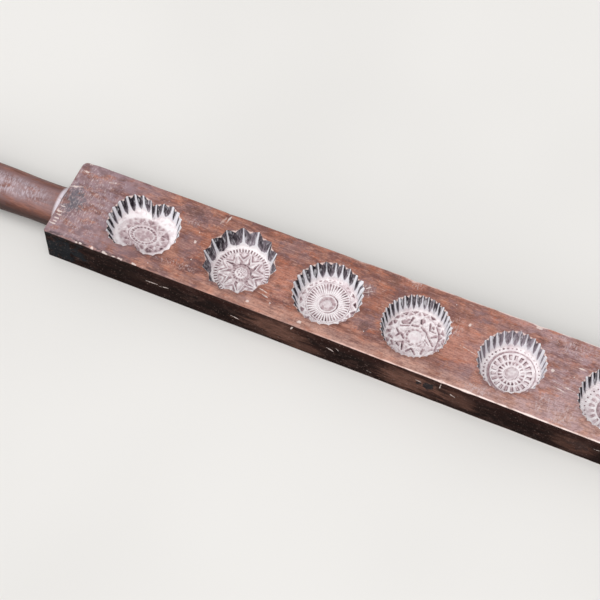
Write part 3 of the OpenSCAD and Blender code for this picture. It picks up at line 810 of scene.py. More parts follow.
def draw_board():
    """The carved board, closed all round."""
    draft = Draft()
    rims = [draw_well(draft, well) for well in WELLS]
    outline, outward = board_outline()

    def side_loop(inset, z, **paint):
        places = np.column_stack((outline - outward * np.asarray(inset)[:, None], z))
        return draft.loop(places, level=ON_TOP, **paint)

    top_back = edge_rounds(outline, 1.7)
    chipped = ease(top_back, 2.0, 3.0)
    loops = []
    for k in range(EDGE_STEPS + 1):
        turn = 0.5 * math.pi * k / EDGE_STEPS
        inset = top_back * (1.0 - math.sin(turn))
        places = outline - outward * inset[:, None]
        flush = worn_top(places[:, 0], places[:, 1])
        z = flush - EDGE_FALL * top_back * (1.0 - math.cos(turn))
        if k == EDGE_STEPS:
            inset = inset + side_wear(np.column_stack((outline, z)))
        grime = ease(k / EDGE_STEPS, 0.45, 1.0)
        worn = math.sin(2.0 * turn) ** 2
        loops.append(side_loop(inset, z, grime=grime, worn=worn, lip=chipped * math.sin(2.0 * turn)))
    top_edge = loops[0]
    upper = np.vstack(draft.points)[loops[-1], 2]
    low_back = 0.9 + 0.3 * rough(np.column_stack((outline, np.zeros(len(outline)))), 12.0, 9.4)
    for k in range(1, SIDE_LEVELS + 1):
        z = upper + (low_back - upper) * k / SIDE_LEVELS
        inset = side_wear(np.column_stack((outline, z)))
        loops.append(side_loop(inset, z, grime=1.0))
    for k in range(1, LOW_EDGE_STEPS + 1):
        turn = 0.5 * math.pi * k / LOW_EDGE_STEPS
        z = low_back * (1.0 - math.sin(turn))
        inset = side_wear(np.column_stack((outline, low_back))) * (1.0 - k / LOW_EDGE_STEPS)
        inset = inset + low_back * (1.0 - math.cos(turn))
        loops.append(side_loop(inset, z, grime=1.0, worn=0.5 * math.sin(2.0 * turn)))
    for upper_loop, lower_loop in zip(loops, loops[1:]):
        draft.span(upper_loop, lower_loop)

    everything = np.vstack(draft.points)
    inner_edge = outline - outward * (top_back + GRID_MARGIN)[:, None]
    spots = face_spots(inner_edge, TOP_GRID, WELLS)
    places = np.column_stack((spots, worn_top(spots[:, 0], spots[:, 1])))
    top_spots = draft.loop(places, level=ON_TOP, dust=0.012 * (spots[:, 0] > -100.0))
    fill_face(draft, top_edge, rims, top_spots, flip=False)

    low_edge = everything[loops[-1], :2]
    shrunk = low_edge - outward * GRID_MARGIN
    spots = face_spots(shrunk, BOTTOM_GRID, ())
    flat = np.column_stack((spots, np.zeros(len(spots))))
    hollow = 0.12 * np.maximum(rough(flat, (40.0, 20.0, 1.0), 4.4), 0.0)
    low_spots = draft.loop(np.column_stack((spots, hollow)), level=ON_TOP, grime=0.75)
    fill_face(draft, loops[-1], [], low_spots, flip=True)
    return draft.piece("carved_board", BOARD_CREASE)


def bore(piece, start, direction, radius, length):
    """Cuts a round hole of a length from a place into a piece."""
    shape = bmesh.new()
    turn = Vector((0.0, 0.0, 1.0)).rotation_difference(Vector(direction)).to_matrix().to_4x4()
    place = Matrix.Translation((Vector(start) + Vector(direction) * length / 2.0) * MM) @ turn
    bmesh.ops.create_cone(shape, cap_ends=True, segments=DRILL_SIDES, radius1=radius * MM,
                          radius2=radius * MM, depth=length * MM, matrix=place)
    mesh = bpy.data.meshes.new("drill")
    shape.to_mesh(mesh)
    shape.free()
    drill = bpy.data.objects.new("drill", mesh)
    bpy.context.scene.collection.objects.link(drill)
    modifier = piece.modifiers.new("bore", "BOOLEAN")
    modifier.operation = "DIFFERENCE"
    modifier.solver = "MANIFOLD"
    modifier.object = drill
    settle(piece)
    bpy.data.objects.remove(drill)
    bpy.data.meshes.remove(mesh)


def settle(piece):
    """Turns a piece's modifiers into its plain mesh."""
    evaluated = piece.evaluated_get(bpy.context.evaluated_depsgraph_get())
    mesh = bpy.data.meshes.new_from_object(evaluated)
    piece.modifiers.clear()
    old = piece.data
    piece.data = mesh
    mesh.name = old.name
    bpy.data.meshes.remove(old)


def bore_pegs(piece):
    for place in PEG_PLACES:
        start = (place, AXIS_Y, -DRILL_RUN_IN)
        bore(piece, start, (0.0, 0.0, 1.0), PEG_HOLE_R, PEG_HOLE_TOP + DRILL_RUN_IN)


# The handle

def handle_profile():
    """Stations along the handle from its butt to the tip of its tenon, each with its radius."""
    stations = [(HANDLE_END, GRIP_R - BUTT_ROUND)]
    for k in range(BUTT_STEPS - 1, -1, -1):
        turn = 0.5 * math.pi * k / BUTT_STEPS
        x = HANDLE_END + BUTT_ROUND * (1.0 - math.sin(turn))
        stations.append((x, GRIP_R - BUTT_ROUND * (1.0 - math.cos(turn))))
    neck = BOARD_START - LIP_WIDTH - FLARE_LENGTH
    swell = neck - SWELL_LENGTH
    stations += [(x, GRIP_R) for x in np.linspace(stations[-1][0], swell, GRIP_STEPS)[1:]]
    for t in np.linspace(0.0, 1.0, SWELL_STEPS)[1:]:
        radius = GRIP_R + (NECK_R - GRIP_R) * (1.0 - math.cos(math.pi * t)) / 2.0
        stations.append((swell + SWELL_LENGTH * t, radius))
    for t in np.linspace(0.0, 1.0, FLARE_STEPS)[1:]:
        stations.append((neck + FLARE_LENGTH * t, NECK_R + (SHOULDER_R - NECK_R - 0.2) * t ** 2))
    lip, seat, tip = BOARD_START - LIP_WIDTH, BOARD_START - SEAT_GAP, BOARD_START + TENON_LENGTH
    stations += [(lip + 0.25, SHOULDER_R), (BOARD_START - LIP_WIDTH / 2.0, SHOULDER_R),
                 (BOARD_START - TURNED_BEVEL, SHOULDER_R), (seat, SHOULDER_R - TURNED_BEVEL),
                 (seat, TENON_R), (BOARD_START + TENON_LENGTH / 2.0, TENON_R),
                 (tip - TURNED_BEVEL, TENON_R), (tip, TENON_R - TURNED_BEVEL)]
    return stations


def draw_handle():
    """The handle, shaved by hand to a round grip, with its shoulder lip and tenon."""
    draft = Draft()
    angles = TURN * np.arange(GRIP_SIDES) / GRIP_SIDES
    around = np.column_stack((np.cos(angles), np.sin(angles)))
    before = None
    for x, radius in handle_profile():
        on_grip = x < BOARD_START - LIP_WIDTH
        places = np.column_stack((np.full(GRIP_SIDES, x), around * radius))
        worn_in = 0.0
        if on_grip:
            worn_in = 0.16 + 0.16 * rough(places, (26.0, 6.0, 6.0), 3.3)
            worn_in = worn_in + 0.06 * rough(places, (60.0, 2.2, 2.2), 7.1)
        elif x < BOARD_START:
            worn_in = 0.12 + 0.14 * rough(places, (2.0, 3.0, 3.0), 1.1)
        reach = np.broadcast_to(radius - np.maximum(worn_in, 0.0), GRIP_SIDES)
        points = np.column_stack((np.full(GRIP_SIDES, x), around * reach[:, None] + (AXIS_Y, AXIS_Z)))
        lip = BOARD_START - LIP_WIDTH <= x <= BOARD_START
        ring = draft.loop(points, worn=1.0 if lip else 0.0)
        if before is None:
            butt = draft.loop([(HANDLE_END, AXIS_Y, AXIS_Z)])
            for i in range(GRIP_SIDES):
                draft.faces.append((butt[0], ring[(i + 1) % GRIP_SIDES], ring[i]))
        else:
            draft.span(ring, before)
        before = ring
    tip = draft.loop([(BOARD_START + TENON_LENGTH, AXIS_Y, AXIS_Z)])
    draft.fan_in(tip[0], before)
    return draft.piece("shaved_handle", HANDLE_CREASE)


# Finishes

def tone(red, green, blue):
    """A colour as the eye reads it, from 0 to 255, made linear."""
    def linear(value):
        value /= 255.0
        return value / 12.92 if value <= 0.04045 else ((value + 0.055) / 1.055) ** 2.4
    return linear(red), linear(green), linear(blue), 1.0


class Channel:
    """One value on its way through a finish; sums and products of channels add Math nodes."""

    def __init__(self, finish, socket):
        self.finish, self.socket = finish, socket

    def math(self, operation, *others):
        return self.finish.node("ShaderNodeMath", {"operation": operation}, dict(enumerate((self, *others))))

    def __add__(self, other):
        return self.math("ADD", other)

    __radd__ = __add__

    def __mul__(self, other):
        return self.math("MULTIPLY", other)

    __rmul__ = __mul__

    def __sub__(self, other):
        return self.math("SUBTRACT", other)

    def __rsub__(self, other):
        return self.finish.node("ShaderNodeMath", {"operation": "SUBTRACT"}, {0: other, 1: self})

    def most(self, other):
        return self.math("MAXIMUM", other)

    def least(self, other):
        return self.math("MINIMUM", other)

    def size(self):
        return self.math("ABSOLUTE")

    def rise(self, start, end):
        """0 before start and 1 after end, smoothly; start may be the larger."""
        low, high, reverse = (start, end, False) if start < end else (end, start, True)
        step = self.finish.node("ShaderNodeMapRange", {"interpolation_type": "SMOOTHSTEP"},
                                {"Value": self, "From Min": low, "From Max": high})
        return 1.0 - step if reverse else step


class Finish:
    """A material and the nodes that make it."""

    def __init__(self, name):
        self.material = bpy.data.materials.new(name)
        self.material.use_nodes = True
        self.tree = self.material.node_tree
        self.tree.nodes.clear()
        self.place = self.node("ShaderNodeTexCoord", output="Object")

    def node(self, kind, settings=None, sockets=None, output=0):
        """Adds a node with its settings, then its socket values or links, and returns one output."""
        made = self.tree.nodes.new(kind)
        for key, value in (settings or {}).items():
            setattr(made, key, value)
        for key, value in (sockets or {}).items():
            if isinstance(value, Channel):
                self.tree.links.new(value.socket, made.inputs[key])
            else:
                made.inputs[key].default_value = value
        return Channel(self, made.outputs[output])

    def axes(self):
        """The three coordinates in millimetres."""
        scaled = self.stretch(1000.0, 1000.0, 1000.0)
        return [self.node("ShaderNodeSeparateXYZ", None, {0: scaled}, output=k) for k in range(3)]

    def vector(self, operation, first, second):
        return self.node("ShaderNodeVectorMath", {"operation": operation}, {0: first, 1: second})

    def stretch(self, x, y, z, place=None):
        return self.vector("MULTIPLY", place or self.place, (x, y, z))

    def cloud(self, place, scale=1.0, detail=4.0, roughness=0.55):
        sockets = {"Vector": place, "Scale": scale, "Detail": detail, "Roughness": roughness}
        return self.node("ShaderNodeTexNoise", None, sockets, output="Fac")

    def paint(self, name):
        return self.node("ShaderNodeAttribute", {"attribute_name": name}, output="Fac")

    def blend(self, share, under, over):
        """A colour mixed from two others."""
        return self.node("ShaderNodeMix", {"data_type": "RGBA"}, {0: share, 6: under, 7: over}, output=2)

    def coats(self, colour, *layers):
        """A colour under coats, each given by its share and the red, green and blue of its tone."""
        for share, *over in layers:
            colour = self.blend(share, colour, tone(*over))
        return colour

    def surface(self, colour, roughness, height=None, relief=0.0002, **constants):
        """Ends the finish in one shader."""
        sockets = {"Base Color": colour, "Roughness": roughness}
        sockets.update({key.replace("_", " "): value for key, value in constants.items()})
        if height is not None:
            sockets["Normal"] = self.node("ShaderNodeBump", None,
                                          {"Height": height, "Distance": relief, "Strength": 1.0})
        shader = self.node("ShaderNodeBsdfPrincipled", None, sockets)
        result = self.tree.nodes.new("ShaderNodeOutputMaterial")
        self.tree.links.new(shader.socket, result.inputs["Surface"])
        return self.material


def stroke(x, y, start, end, width, wander):
    """Mask of a stroke between two places that thins out to its ends, in millimetres."""
    run_x, run_y = end[0] - start[0], end[1] - start[1]
    long = run_x ** 2 + run_y ** 2
    off_x, off_y = x - start[0], y - start[1]
    along = (off_x * (run_x / long) + off_y * (run_y / long)).most(0.0).least(1.0)
    gap_x, gap_y = off_x - along * run_x, off_y - along * run_y
    gap = (gap_x * gap_x + gap_y * gap_y).math("SQRT") + wander
    return (gap - along * (1.0 - along) * (4.0 * width)).rise(0.14, -0.14)


def patch(x, y, middle, half_x, half_y, ragged, soft=0.22):
    """Mask of a rounded patch with ragged edges, in millimetres."""
    away_x = (x - middle[0]) * (1.0 / half_x)
    away_y = (y - middle[1]) * (1.0 / half_y)
    return ((away_x * away_x + away_y * away_y).math("SQRT") + ragged).rise(0.93 + soft, 0.93 - soft)


# Pale scratches on the top face and on the front face: their two ends and half width
TOP_SCRATCHES = (
    ((-176.0, 8.0), (-163.5, 12.0), 0.5), ((193.8, -2.6), (211.2, -5.1), 0.36),
    ((-63.2, 21.8), (-61.2, 28.2), 0.9), ((-59.6, 23.6), (-58.2, 30.9), 0.6),
    ((50.6, 10.0), (57.6, 14.4), 0.35), ((49.8, 13.0), (56.6, 18.4), 0.4),
    ((196.0, -6.4), (206.0, -8.2), 0.24), ((127.2, -2.0), (143.0, -5.6), 0.22),
    ((-150.0, 22.0), (-141.0, 24.5), 0.25), ((262.0, -14.0), (276.0, -9.0), 0.35),
    ((-23.0, -16.5), (-8.0, -20.0), 0.22), ((-20.0, -14.6), (-7.0, -17.0), 0.2),
)
FRONT_SCRATCHES = (
    ((-97.0, 16.4), (-87.5, 17.4), 0.42), ((-86.5, 16.0), (-78.5, 18.0), 0.38),
    ((-32.0, 12.4), (-25.0, 11.0), 0.4), ((14.0, 26.0), (15.4, 30.0), 0.35),
    ((41.0, 19.0), (46.0, 16.8), 0.42), ((48.0, 23.0), (50.0, 20.0), 0.35),
    ((236.0, 19.0), (250.0, 21.0), 0.3), ((107.0, 21.5), (112.0, 20.0), 0.3),
    ((125.4, 29.0), (124.6, 22.0), 0.32), ((132.0, 20.0), (137.0, 17.0), 0.25),
    ((71.0, 8.0), (75.0, 7.0), 0.28),
)
# Pale flecks on the top face: place and half sizes
FLECKS = (
    (-73.7, 9.6, 0.7, 0.8), (-73.4, 1.0, 0.9, 1.4), (-70.1, -12.5, 0.8, 0.9), (127.6, 15.0, 0.8, 1.3),
    (191.6, 4.4, 0.9, 1.3), (-172.5, -13.2, 2.2, 0.6), (-171.8, -16.0, 1.8, 0.5),
    (-172.0, -19.0, 2.0, 0.6), (-171.6, -21.6, 1.6, 0.5), (-171.8, -24.0, 2.2, 0.6),
    (-171.4, -8.6, 1.4, 0.4), (209.8, 13.2, 3.0, 0.7), (-20.5, -27.6, 1.0, 0.8),
    (18.7, -28.6, 1.7, 1.2), (-5.6, -23.0, 1.0, 0.7), (256.0, 24.0, 1.2, 0.8), (-169.0, 24.0, 1.6, 0.6),
    (172.0, 31.6, 2.4, 0.8), (-150.0, -31.6, 0.7, 0.5), (-147.0, -31.2, 1.0, 0.5),
    (-138.2, -31.6, 0.9, 0.8), (-129.0, -31.5, 1.1, 0.9), (-127.0, -32.0, 1.4, 0.5),
    (-121.0, -31.8, 1.8, 0.4), (-117.0, -31.6, 1.0, 0.4), (-106.0, -31.6, 1.1, 0.7),
    (-104.0, -32.0, 0.8, 0.5),
)
# Places of the top face that are scuffed, greyer, redder, darker or lighter: middle and half sizes
SCUFFED = (
    (-158.0, 0.0, 20.0, 31.0), (-77.0, -20.4, 16.0, 2.6), (-80.0, 15.2, 5.0, 2.6), (203.0, -22.0, 16.0, 9.0),
    (150.0, -29.0, 10.0, 4.0), (119.6, 9.0, 5.0, 8.0), (200.0, 26.0, 14.0, 6.0), (54.0, 13.0, 4.5, 5.5),
    (-173.0, 6.0, 3.0, 24.0), (80.0, 30.0, 8.0, 3.0),
)
GREYED = (
    (-79.0, 21.0, 17.0, 9.0), (60.0, -12.0, 9.0, 7.0), (131.0, -21.0, 12.0, 8.0), (203.0, 15.0, 12.0, 9.0),
    (205.0, -22.0, 19.0, 8.0), (270.0, 4.0, 10.0, 9.0), (-5.0, 22.0, 13.0, 8.0), (133.0, 24.0, 9.0, 6.0),
    (54.0, 13.0, 5.0, 6.0), (204.0, -2.0, 15.0, 9.0), (-76.0, -4.0, 9.0, 12.0),
)
REDDENED = (
    (-69.0, 3.0, 10.0, 11.0), (-6.0, 5.0, 8.0, 9.0), (60.0, 6.0, 8.0, 8.0), (78.0, 30.0, 14.0, 5.0),
)
DARKENED = (
    (-168.0, 4.0, 6.5, 6.0), (-7.0, -8.2, 4.2, 2.0), (67.0, 28.0, 5.0, 6.0), (-141.0, -2.0, 5.0, 12.0),
    (61.0, -15.0, 4.0, 4.0), (-84.0, 24.0, 9.0, 4.0), (-166.0, -8.0, 5.0, 4.0), (187.0, 24.0, 5.0, 3.0),
)
LIGHTENED = ((-4.0, -2.0, 9.0, 16.0), (130.0, -2.0, 15.0, 20.0))
# Lighter and blacker places on the front and back faces: middle, half sizes and strength
FRONT_LIGHTER = (
    (0.0, 17.0, 21.0, 13.0, 0.8), (24.0, 8.0, 14.0, 7.0, 0.5), (104.0, 16.0, 24.0, 12.0, 0.9),
    (138.0, 16.0, 13.0, 12.0, 0.55), (222.0, 14.0, 14.0, 12.0, 0.45), (-95.0, 17.0, 14.0, 4.0, 0.1),
    (270.0, 12.0, 16.0, 9.0, 0.5),
)
BACK_LIGHTER = (
    (-120.0, 20.0, 30.0, 9.0, 0.5), (-20.0, 12.0, 40.0, 8.0, 0.55), (76.0, 20.0, 26.0, 8.0, 0.6),
    (180.0, 14.0, 36.0, 9.0, 0.5), (262.0, 19.0, 24.0, 8.0, 0.5),
)
FRONT_BLACKER = ((-164.0, 15.0, 17.0, 14.0, 0.9), (116.0, 18.0, 7.0, 3.6, 0.9), (226.0, 15.0, 7.0, 4.4, 0.4))


def wood_figure(finish, seed):
    """Grain bands, fine fibres and mottles of one piece of hardwood, running along X."""
    shifted = finish.vector("ADD", finish.place, (seed, seed, seed))
    sway = finish.cloud(finish.stretch(9.0, 45.0, 45.0, shifted), detail=2.0)
    swayed = finish.node("ShaderNodeCombineXYZ", None, {"X": 0.0, "Y": sway * 0.006, "Z": sway * 0.006})
    bent = finish.vector("ADD", shifted, swayed)
    bands = finish.cloud(finish.stretch(30.0, 260.0, 260.0, bent), detail=6.0, roughness=0.66)
    fibres = finish.cloud(finish.stretch(160.0, 1500.0, 1500.0, bent), detail=3.0, roughness=0.6)
    mottles = finish.cloud(finish.stretch(75.0, 130.0, 130.0, shifted), detail=7.0, roughness=0.66)
    return bands, fibres, mottles


def board_finish():
    """Old reddish hardwood, dusty by the handle, near black on its sides and floury in its wells, with some
    light and shade painted in.
    """
    finish = Finish("board_wood")
    x, y, z = finish.axes()
    bands, fibres, mottles = wood_figure(finish, 0.0)
    scuff = finish.cloud(finish.stretch(90.0, 150.0, 150.0), detail=7.0, roughness=0.7)
    rake = finish.cloud(finish.stretch(900.0, 360.0, 360.0), detail=5.0, roughness=0.7)
    drag = finish.cloud(finish.stretch(190.0, 900.0, 900.0), detail=4.0, roughness=0.65)
    speck = finish.cloud(finish.place, scale=620.0, detail=3.0, roughness=0.6)
    mottle = finish.cloud(finish.place, scale=150.0, detail=5.0, roughness=0.6)
    ragged = (mottle - 0.5) * 2.6 + (speck - 0.5) * 1.0
    flaked = (speck - 0.5) * 2.4 + (mottle - 0.5) * 2.4

    def stains(places):
        share = 0.0
        for middle_x, middle_y, half_x, half_y in places:
            mask = patch(x, y, (middle_x, middle_y), half_x, half_y, ragged)
            share = mask if share == 0.0 else share.most(mask)
        return share

    rougher = 0.75 + 0.25 * x.rise(110.0, 60.0) + 0.25 * x.rise(-20.0, -80.0)
    hue = finish.cloud(finish.stretch(75.0, 200.0, 200.0), detail=5.0, roughness=0.62)
    paler = y.rise(-20.0, -30.0) * x.rise(-150.0, 30.0) + x.rise(150.0, 215.0) * y.rise(20.0, -25.0) * 0.8
    hazed = x.rise(110.0, 200.0) * (0.12 + scuff.rise(0.44, 0.58)).least(1.0)
    dusty = x.rise(-85.0, -150.0)
    rubbed = patch(x, y, (-166.0, -1.0), 9.0, 11.0, ragged * 1.6) * (0.3 + mottle.rise(0.35, 0.6)).least(1.0)
    flecked = (stains(SCUFFED) + 0.10) * rake.rise(0.48, 0.70)
    nicked = y.rise(-28.0, -31.5) * x.rise(-70.0, -130.0) * scuff.rise(0.48, 0.56)
    wood = finish.blend(bands.rise(0.34, 0.66), tone(132, 88, 77), tone(186, 134, 117))
    wood = finish.coats(
        wood,
        (mottles.rise(0.48, 0.60) * rougher * 0.8, 118, 84, 82),
        (mottles.rise(0.45, 0.33) * rougher * 0.8, 192, 138, 118),
        (stains(LIGHTENED) * scuff.rise(0.2, 0.5) * 0.6, 208, 148, 130),
        (hue.rise(0.52, 0.66) * 0.55, 190, 116, 88),
        (hue.rise(0.47, 0.35) * 0.55, 142, 112, 115),
        (stains(REDDENED) * scuff.rise(0.25, 0.6) * 0.5, 172, 106, 84),
        (stains(GREYED) * scuff.rise(0.25, 0.55) * 0.6, 136, 112, 116),
        (stains(DARKENED) * mottle.rise(0.3, 0.55) * 0.6, 92, 70, 68),
        ((paler * scuff.rise(0.25, 0.6)).least(1.0) * 0.55, 216, 176, 162),
        (hazed * 0.6, 188, 162, 168),
        (fibres.rise(0.57, 0.38) * 0.4, 98, 64, 58),
        (drag.rise(0.53, 0.68) * 0.5, 206, 164, 150),
        (speck.rise(0.50, 0.36) * 0.28, 96, 66, 62),
        (dusty * (0.15 + scuff.rise(0.38, 0.56)).least(1.0) * 0.75, 157, 136, 144),
        (dusty * mottle.rise(0.50, 0.62) * 0.4, 108, 82, 80),
        (rubbed * 0.85, 100, 99, 107),
        (flecked.least(1.0) * 0.65, 208, 190, 190),
        (nicked * 0.8, 52, 40, 42),
    )

    # This mask takes the side faces and the underside to the near-black side colour. It also lays a painted
    # shadow just outside the front of each rim.
    grime = finish.paint("grime")
    side = finish.blend(bands.rise(0.35, 0.65), tone(16, 5, 3), tone(34, 14, 10))
    side = finish.blend(z.rise(19.0, 29.0) * x.rise(-130.0, -70.0) * 0.6, side, tone(52, 22, 15))
    streaky = (bands - 0.5) * 2.6 + (mottles - 0.5) * 1.6
    for places, facing in ((FRONT_LIGHTER, y.rise(0.0, -20.0)), (BACK_LIGHTER, y.rise(0.0, 20.0))):
        for middle_x, middle_z, half_x, half_z, strength in places:
            mask = patch(x, z, (middle_x, middle_z), half_x, half_z, streaky, 0.45) * facing
            side = finish.blend(mask * (0.35 + scuff).least(1.0) * strength, side, tone(120, 84, 72))
    side = finish.blend(mottles.rise(0.5, 0.66) * 0.45, side, tone(78, 54, 48))
    for middle_x, middle_z, half_x, half_z, strength in FRONT_BLACKER:
        mask = patch(x, z, (middle_x, middle_z), half_x, half_z, ragged * 1.8) * y.rise(0.0, -20.0)
        side = finish.blend(mask * strength, side, tone(28, 33, 38))
    side = finish.blend(fibres.rise(0.56, 0.36) * 0.5, side, tone(16, 9, 9))
    side = finish.blend(speck.rise(0.60, 0.70) * 0.4, side, tone(134, 112, 106))
    wood = finish.blend(grime, wood, side)

    worn, lip = finish.paint("worn"), finish.paint("lip")
    # Pale line along the round of the top edge, brighter further from the handle: wear, and a painted
    # highlight.
    edge_wear_and_highlight = worn * (0.25 + scuff.rise(0.35, 0.58)) * (0.12 + 0.88 * x.rise(0.0, 100.0))
    rubbed_and_highlight_tone = finish.blend(x.rise(60.0, 160.0), tone(234, 200, 190), tone(252, 232, 226))
    wood = finish.blend(edge_wear_and_highlight.least(0.95), wood, rubbed_and_highlight_tone)

    pale = speck.rise(0.71, 0.77) * 0.7 * (1.0 - grime)
    wander = (speck - 0.5) * 2.2 + (mottle - 0.5) * 1.2
    broken = 0.3 + 0.7 * scuff.rise(0.42, 0.56)
    for start, end, width in TOP_SCRATCHES:
        pale = pale.most(stroke(x, y, start, end, width, wander) * (1.0 - grime) * broken)
    for start, end, width in FRONT_SCRATCHES:
        pale = pale.most(stroke(x, z, start, end, width, wander) * grime * y.rise(0.0, -20.0))
    for middle_x, middle_y, half_x, half_y in FLECKS:
        pale = pale.most(patch(x, y, (middle_x, middle_y), half_x, half_y, flaked) * grime.rise(0.7, 0.2))
    wood = finish.blend(pale * 0.8, wood, tone(228, 212, 206))

    level, bare, recess = finish.paint("level"), finish.paint("bare"), finish.paint("recess")
    tooth = finish.paint("tooth")
    in_well = level.rise(1.12, 1.0)
    streak = finish.cloud(finish.stretch(1300.0, 1300.0, 120.0), detail=3.0, roughness=0.6)
    smear = finish.cloud(finish.stretch(700.0, 700.0, 60.0), detail=3.0, roughness=0.6)
    teeth = (bare + (streak - 0.5) * 0.5 + (speck - 0.5) * 0.3).rise(0.28, 0.82)
    flour = 1.0 - teeth * (1.0 - smear.rise(0.52, 0.70) * 0.6)
    # The tooth value carries the teeth's random tone together with their painted light and shade.
    deep = (streak * 1.3 + tooth * 0.42 + level.rise(0.55, 0.2) * 0.3).rise(0.65, 1.75)
    dark = finish.blend(deep, tone(42, 37, 43), tone(162, 150, 159))
    dark = finish.blend(smear.rise(0.46, 0.34) * 0.6, dark, tone(28, 22, 26))
    # Floor tint in the cuts: bare wood, and painted shade in the recesses.
    sunk = recess * (0.75 + 0.5 * mottle)
    white = finish.blend(mottle.rise(0.42, 0.7), tone(247, 241, 242), tone(225, 211, 214))
    white = finish.coats(
        white,
        # Walls take a cooler white than the floor: the bluish tint of painted shade.
        (level.rise(0.0, 0.3), 241, 240, 245),
        (sunk.rise(0.0, 0.55), 178, 154, 158),
        (sunk.rise(0.45, 1.05), 86, 67, 72),
    )
    inner = finish.blend(flour, dark, white)
    colour = finish.blend(in_well, wood, inner)
    # Pale rim lips and chipped edges: wear and flour, and on the rims a painted highlight too.
    edge = (lip + (mottle - 0.5) * 1.4 + (speck - 0.5) * 1.2).rise(0.3, 0.75) * lip.rise(0.02, 0.25)
    colour = finish.blend(edge * 0.85, colour, tone(236, 212, 206))

    dry = in_well * flour
    roughness = 0.66 - 0.16 * bands - 0.10 * worn + dry * 0.28
    height = fibres * 0.5 + bands * 0.3 + speck * 0.25 * dry
    return finish.surface(colour, roughness, height, relief=0.00025, Specular_IOR_Level=0.03)


def handle_finish():
    """Hardwood of the handle, dusty along its top, with a rubbed shoulder lip; painted sheen, highlight and
    shade are laid on it too.
    """
    finish = Finish("handle_wood")
    x, y, z = finish.axes()
    bands, fibres, mottles = wood_figure(finish, 0.37)
    scuff = finish.cloud(finish.stretch(70.0, 190.0, 190.0), detail=7.0, roughness=0.68)
    rake = finish.cloud(finish.stretch(1000.0, 300.0, 300.0), detail=4.0, roughness=0.65)
    up, front = (z - AXIS_Z) * (1.0 / GRIP_R), (AXIS_Y - y) * (1.0 / GRIP_R)
    # The side of the handle facing up and a little forward, where the light falls, is greyed and carries a
    # pale film: dust, and a painted sheen.
    facing = up * 0.97 + front * 0.24
    greyed = facing.rise(0.62, 0.9) * scuff.rise(0.25, 0.55)
    dust_and_sheen = facing.rise(0.80, 0.97) * x.rise(-178.0, -197.0)
    dust_and_sheen = dust_and_sheen * (scuff.rise(0.36, 0.6) * 0.4 + rake.rise(0.46, 0.60) * 0.8)
    # The pale shoulder lip, only on its side towards the light: wear, and a painted highlight.
    worn = finish.paint("worn") * facing.rise(-0.3, 0.5)
    wood = finish.blend(bands.rise(0.32, 0.68), tone(114, 70, 60), tone(168, 114, 98))
    wood = finish.coats(
        wood,
        (fibres.rise(0.60, 0.36) * 0.45, 88, 54, 48),
        (mottles.rise(0.46, 0.60) * 0.65, 126, 98, 98),
        (greyed * 0.6, 142, 122, 126),
        (dust_and_sheen.least(1.0) * 0.62, 202, 188, 196),
        # Painted shade: the underside of the handle darkened.
        (up.rise(0.78, 0.04) * 0.88, 40, 24, 22),
        (worn * (0.5 + scuff.rise(0.3, 0.6)).least(0.94), 222, 212, 220),
        # Painted shadow: a dark ring on the shoulder where it meets the board.
        (x.rise(BOARD_START - 0.8, BOARD_START - 0.3) * 0.85, 50, 38, 40),
    )
    roughness = 0.58 - 0.15 * bands + dust_and_sheen * 0.12
    height = fibres * 0.5 + bands * 0.4
    return finish.surface(wood, roughness, height, relief=0.00025, Specular_IOR_Level=0.18)


def peg_finish():
    """Pale split wood of the pegs, its grain along the peg."""
    finish = Finish("peg_wood")
    grain = finish.cloud(finish.stretch(1500.0, 1500.0, 60.0), detail=4.0)
    rings = finish.cloud(finish.stretch(420.0, 900.0, 30.0), detail=3.0)
    wood = finish.blend(grain.rise(0.3, 0.7), tone(132, 96, 66), tone(178, 138, 98))
    wood = finish.blend(rings.rise(0.5, 0.7) * 0.6, wood, tone(92, 62, 44))
    return finish.surface(wood, 0.7 - 0.15 * grain, grain, relief=0.0002, Specular_IOR_Level=0.3)


def flour_finish():
    """Dry lumps of flour."""
    finish = Finish("flour")
    lump = finish.cloud(finish.place, scale=900.0, detail=3.0)
    colour = finish.blend(lump.rise(0.35, 0.7), tone(246, 242, 240), tone(226, 216, 214))
    return finish.surface(colour, 0.85 + 0.1 * lump, lump, relief=0.0001, Specular_IOR_Level=0.2)


def floor_finish():
    finish = Finish("studio_floor")
    soft = finish.cloud(finish.place, scale=3.0, detail=2.0)
    colour = finish.blend(soft.rise(0.3, 0.7), tone(224, 222, 219), tone(230, 228, 225))
    return finish.surface(colour, 0.85 + 0.05 * soft, Specular_IOR_Level=0.2)


# Flour crumbs in the wells and on the board: how many to a square metre of full dust, and sizes in metres
CRUMB_DENSITY = 180000.0
CRUMB_LEAST, CRUMB_LARGEST = 0.00012, 0.00042
CRUMB_SEED = 5


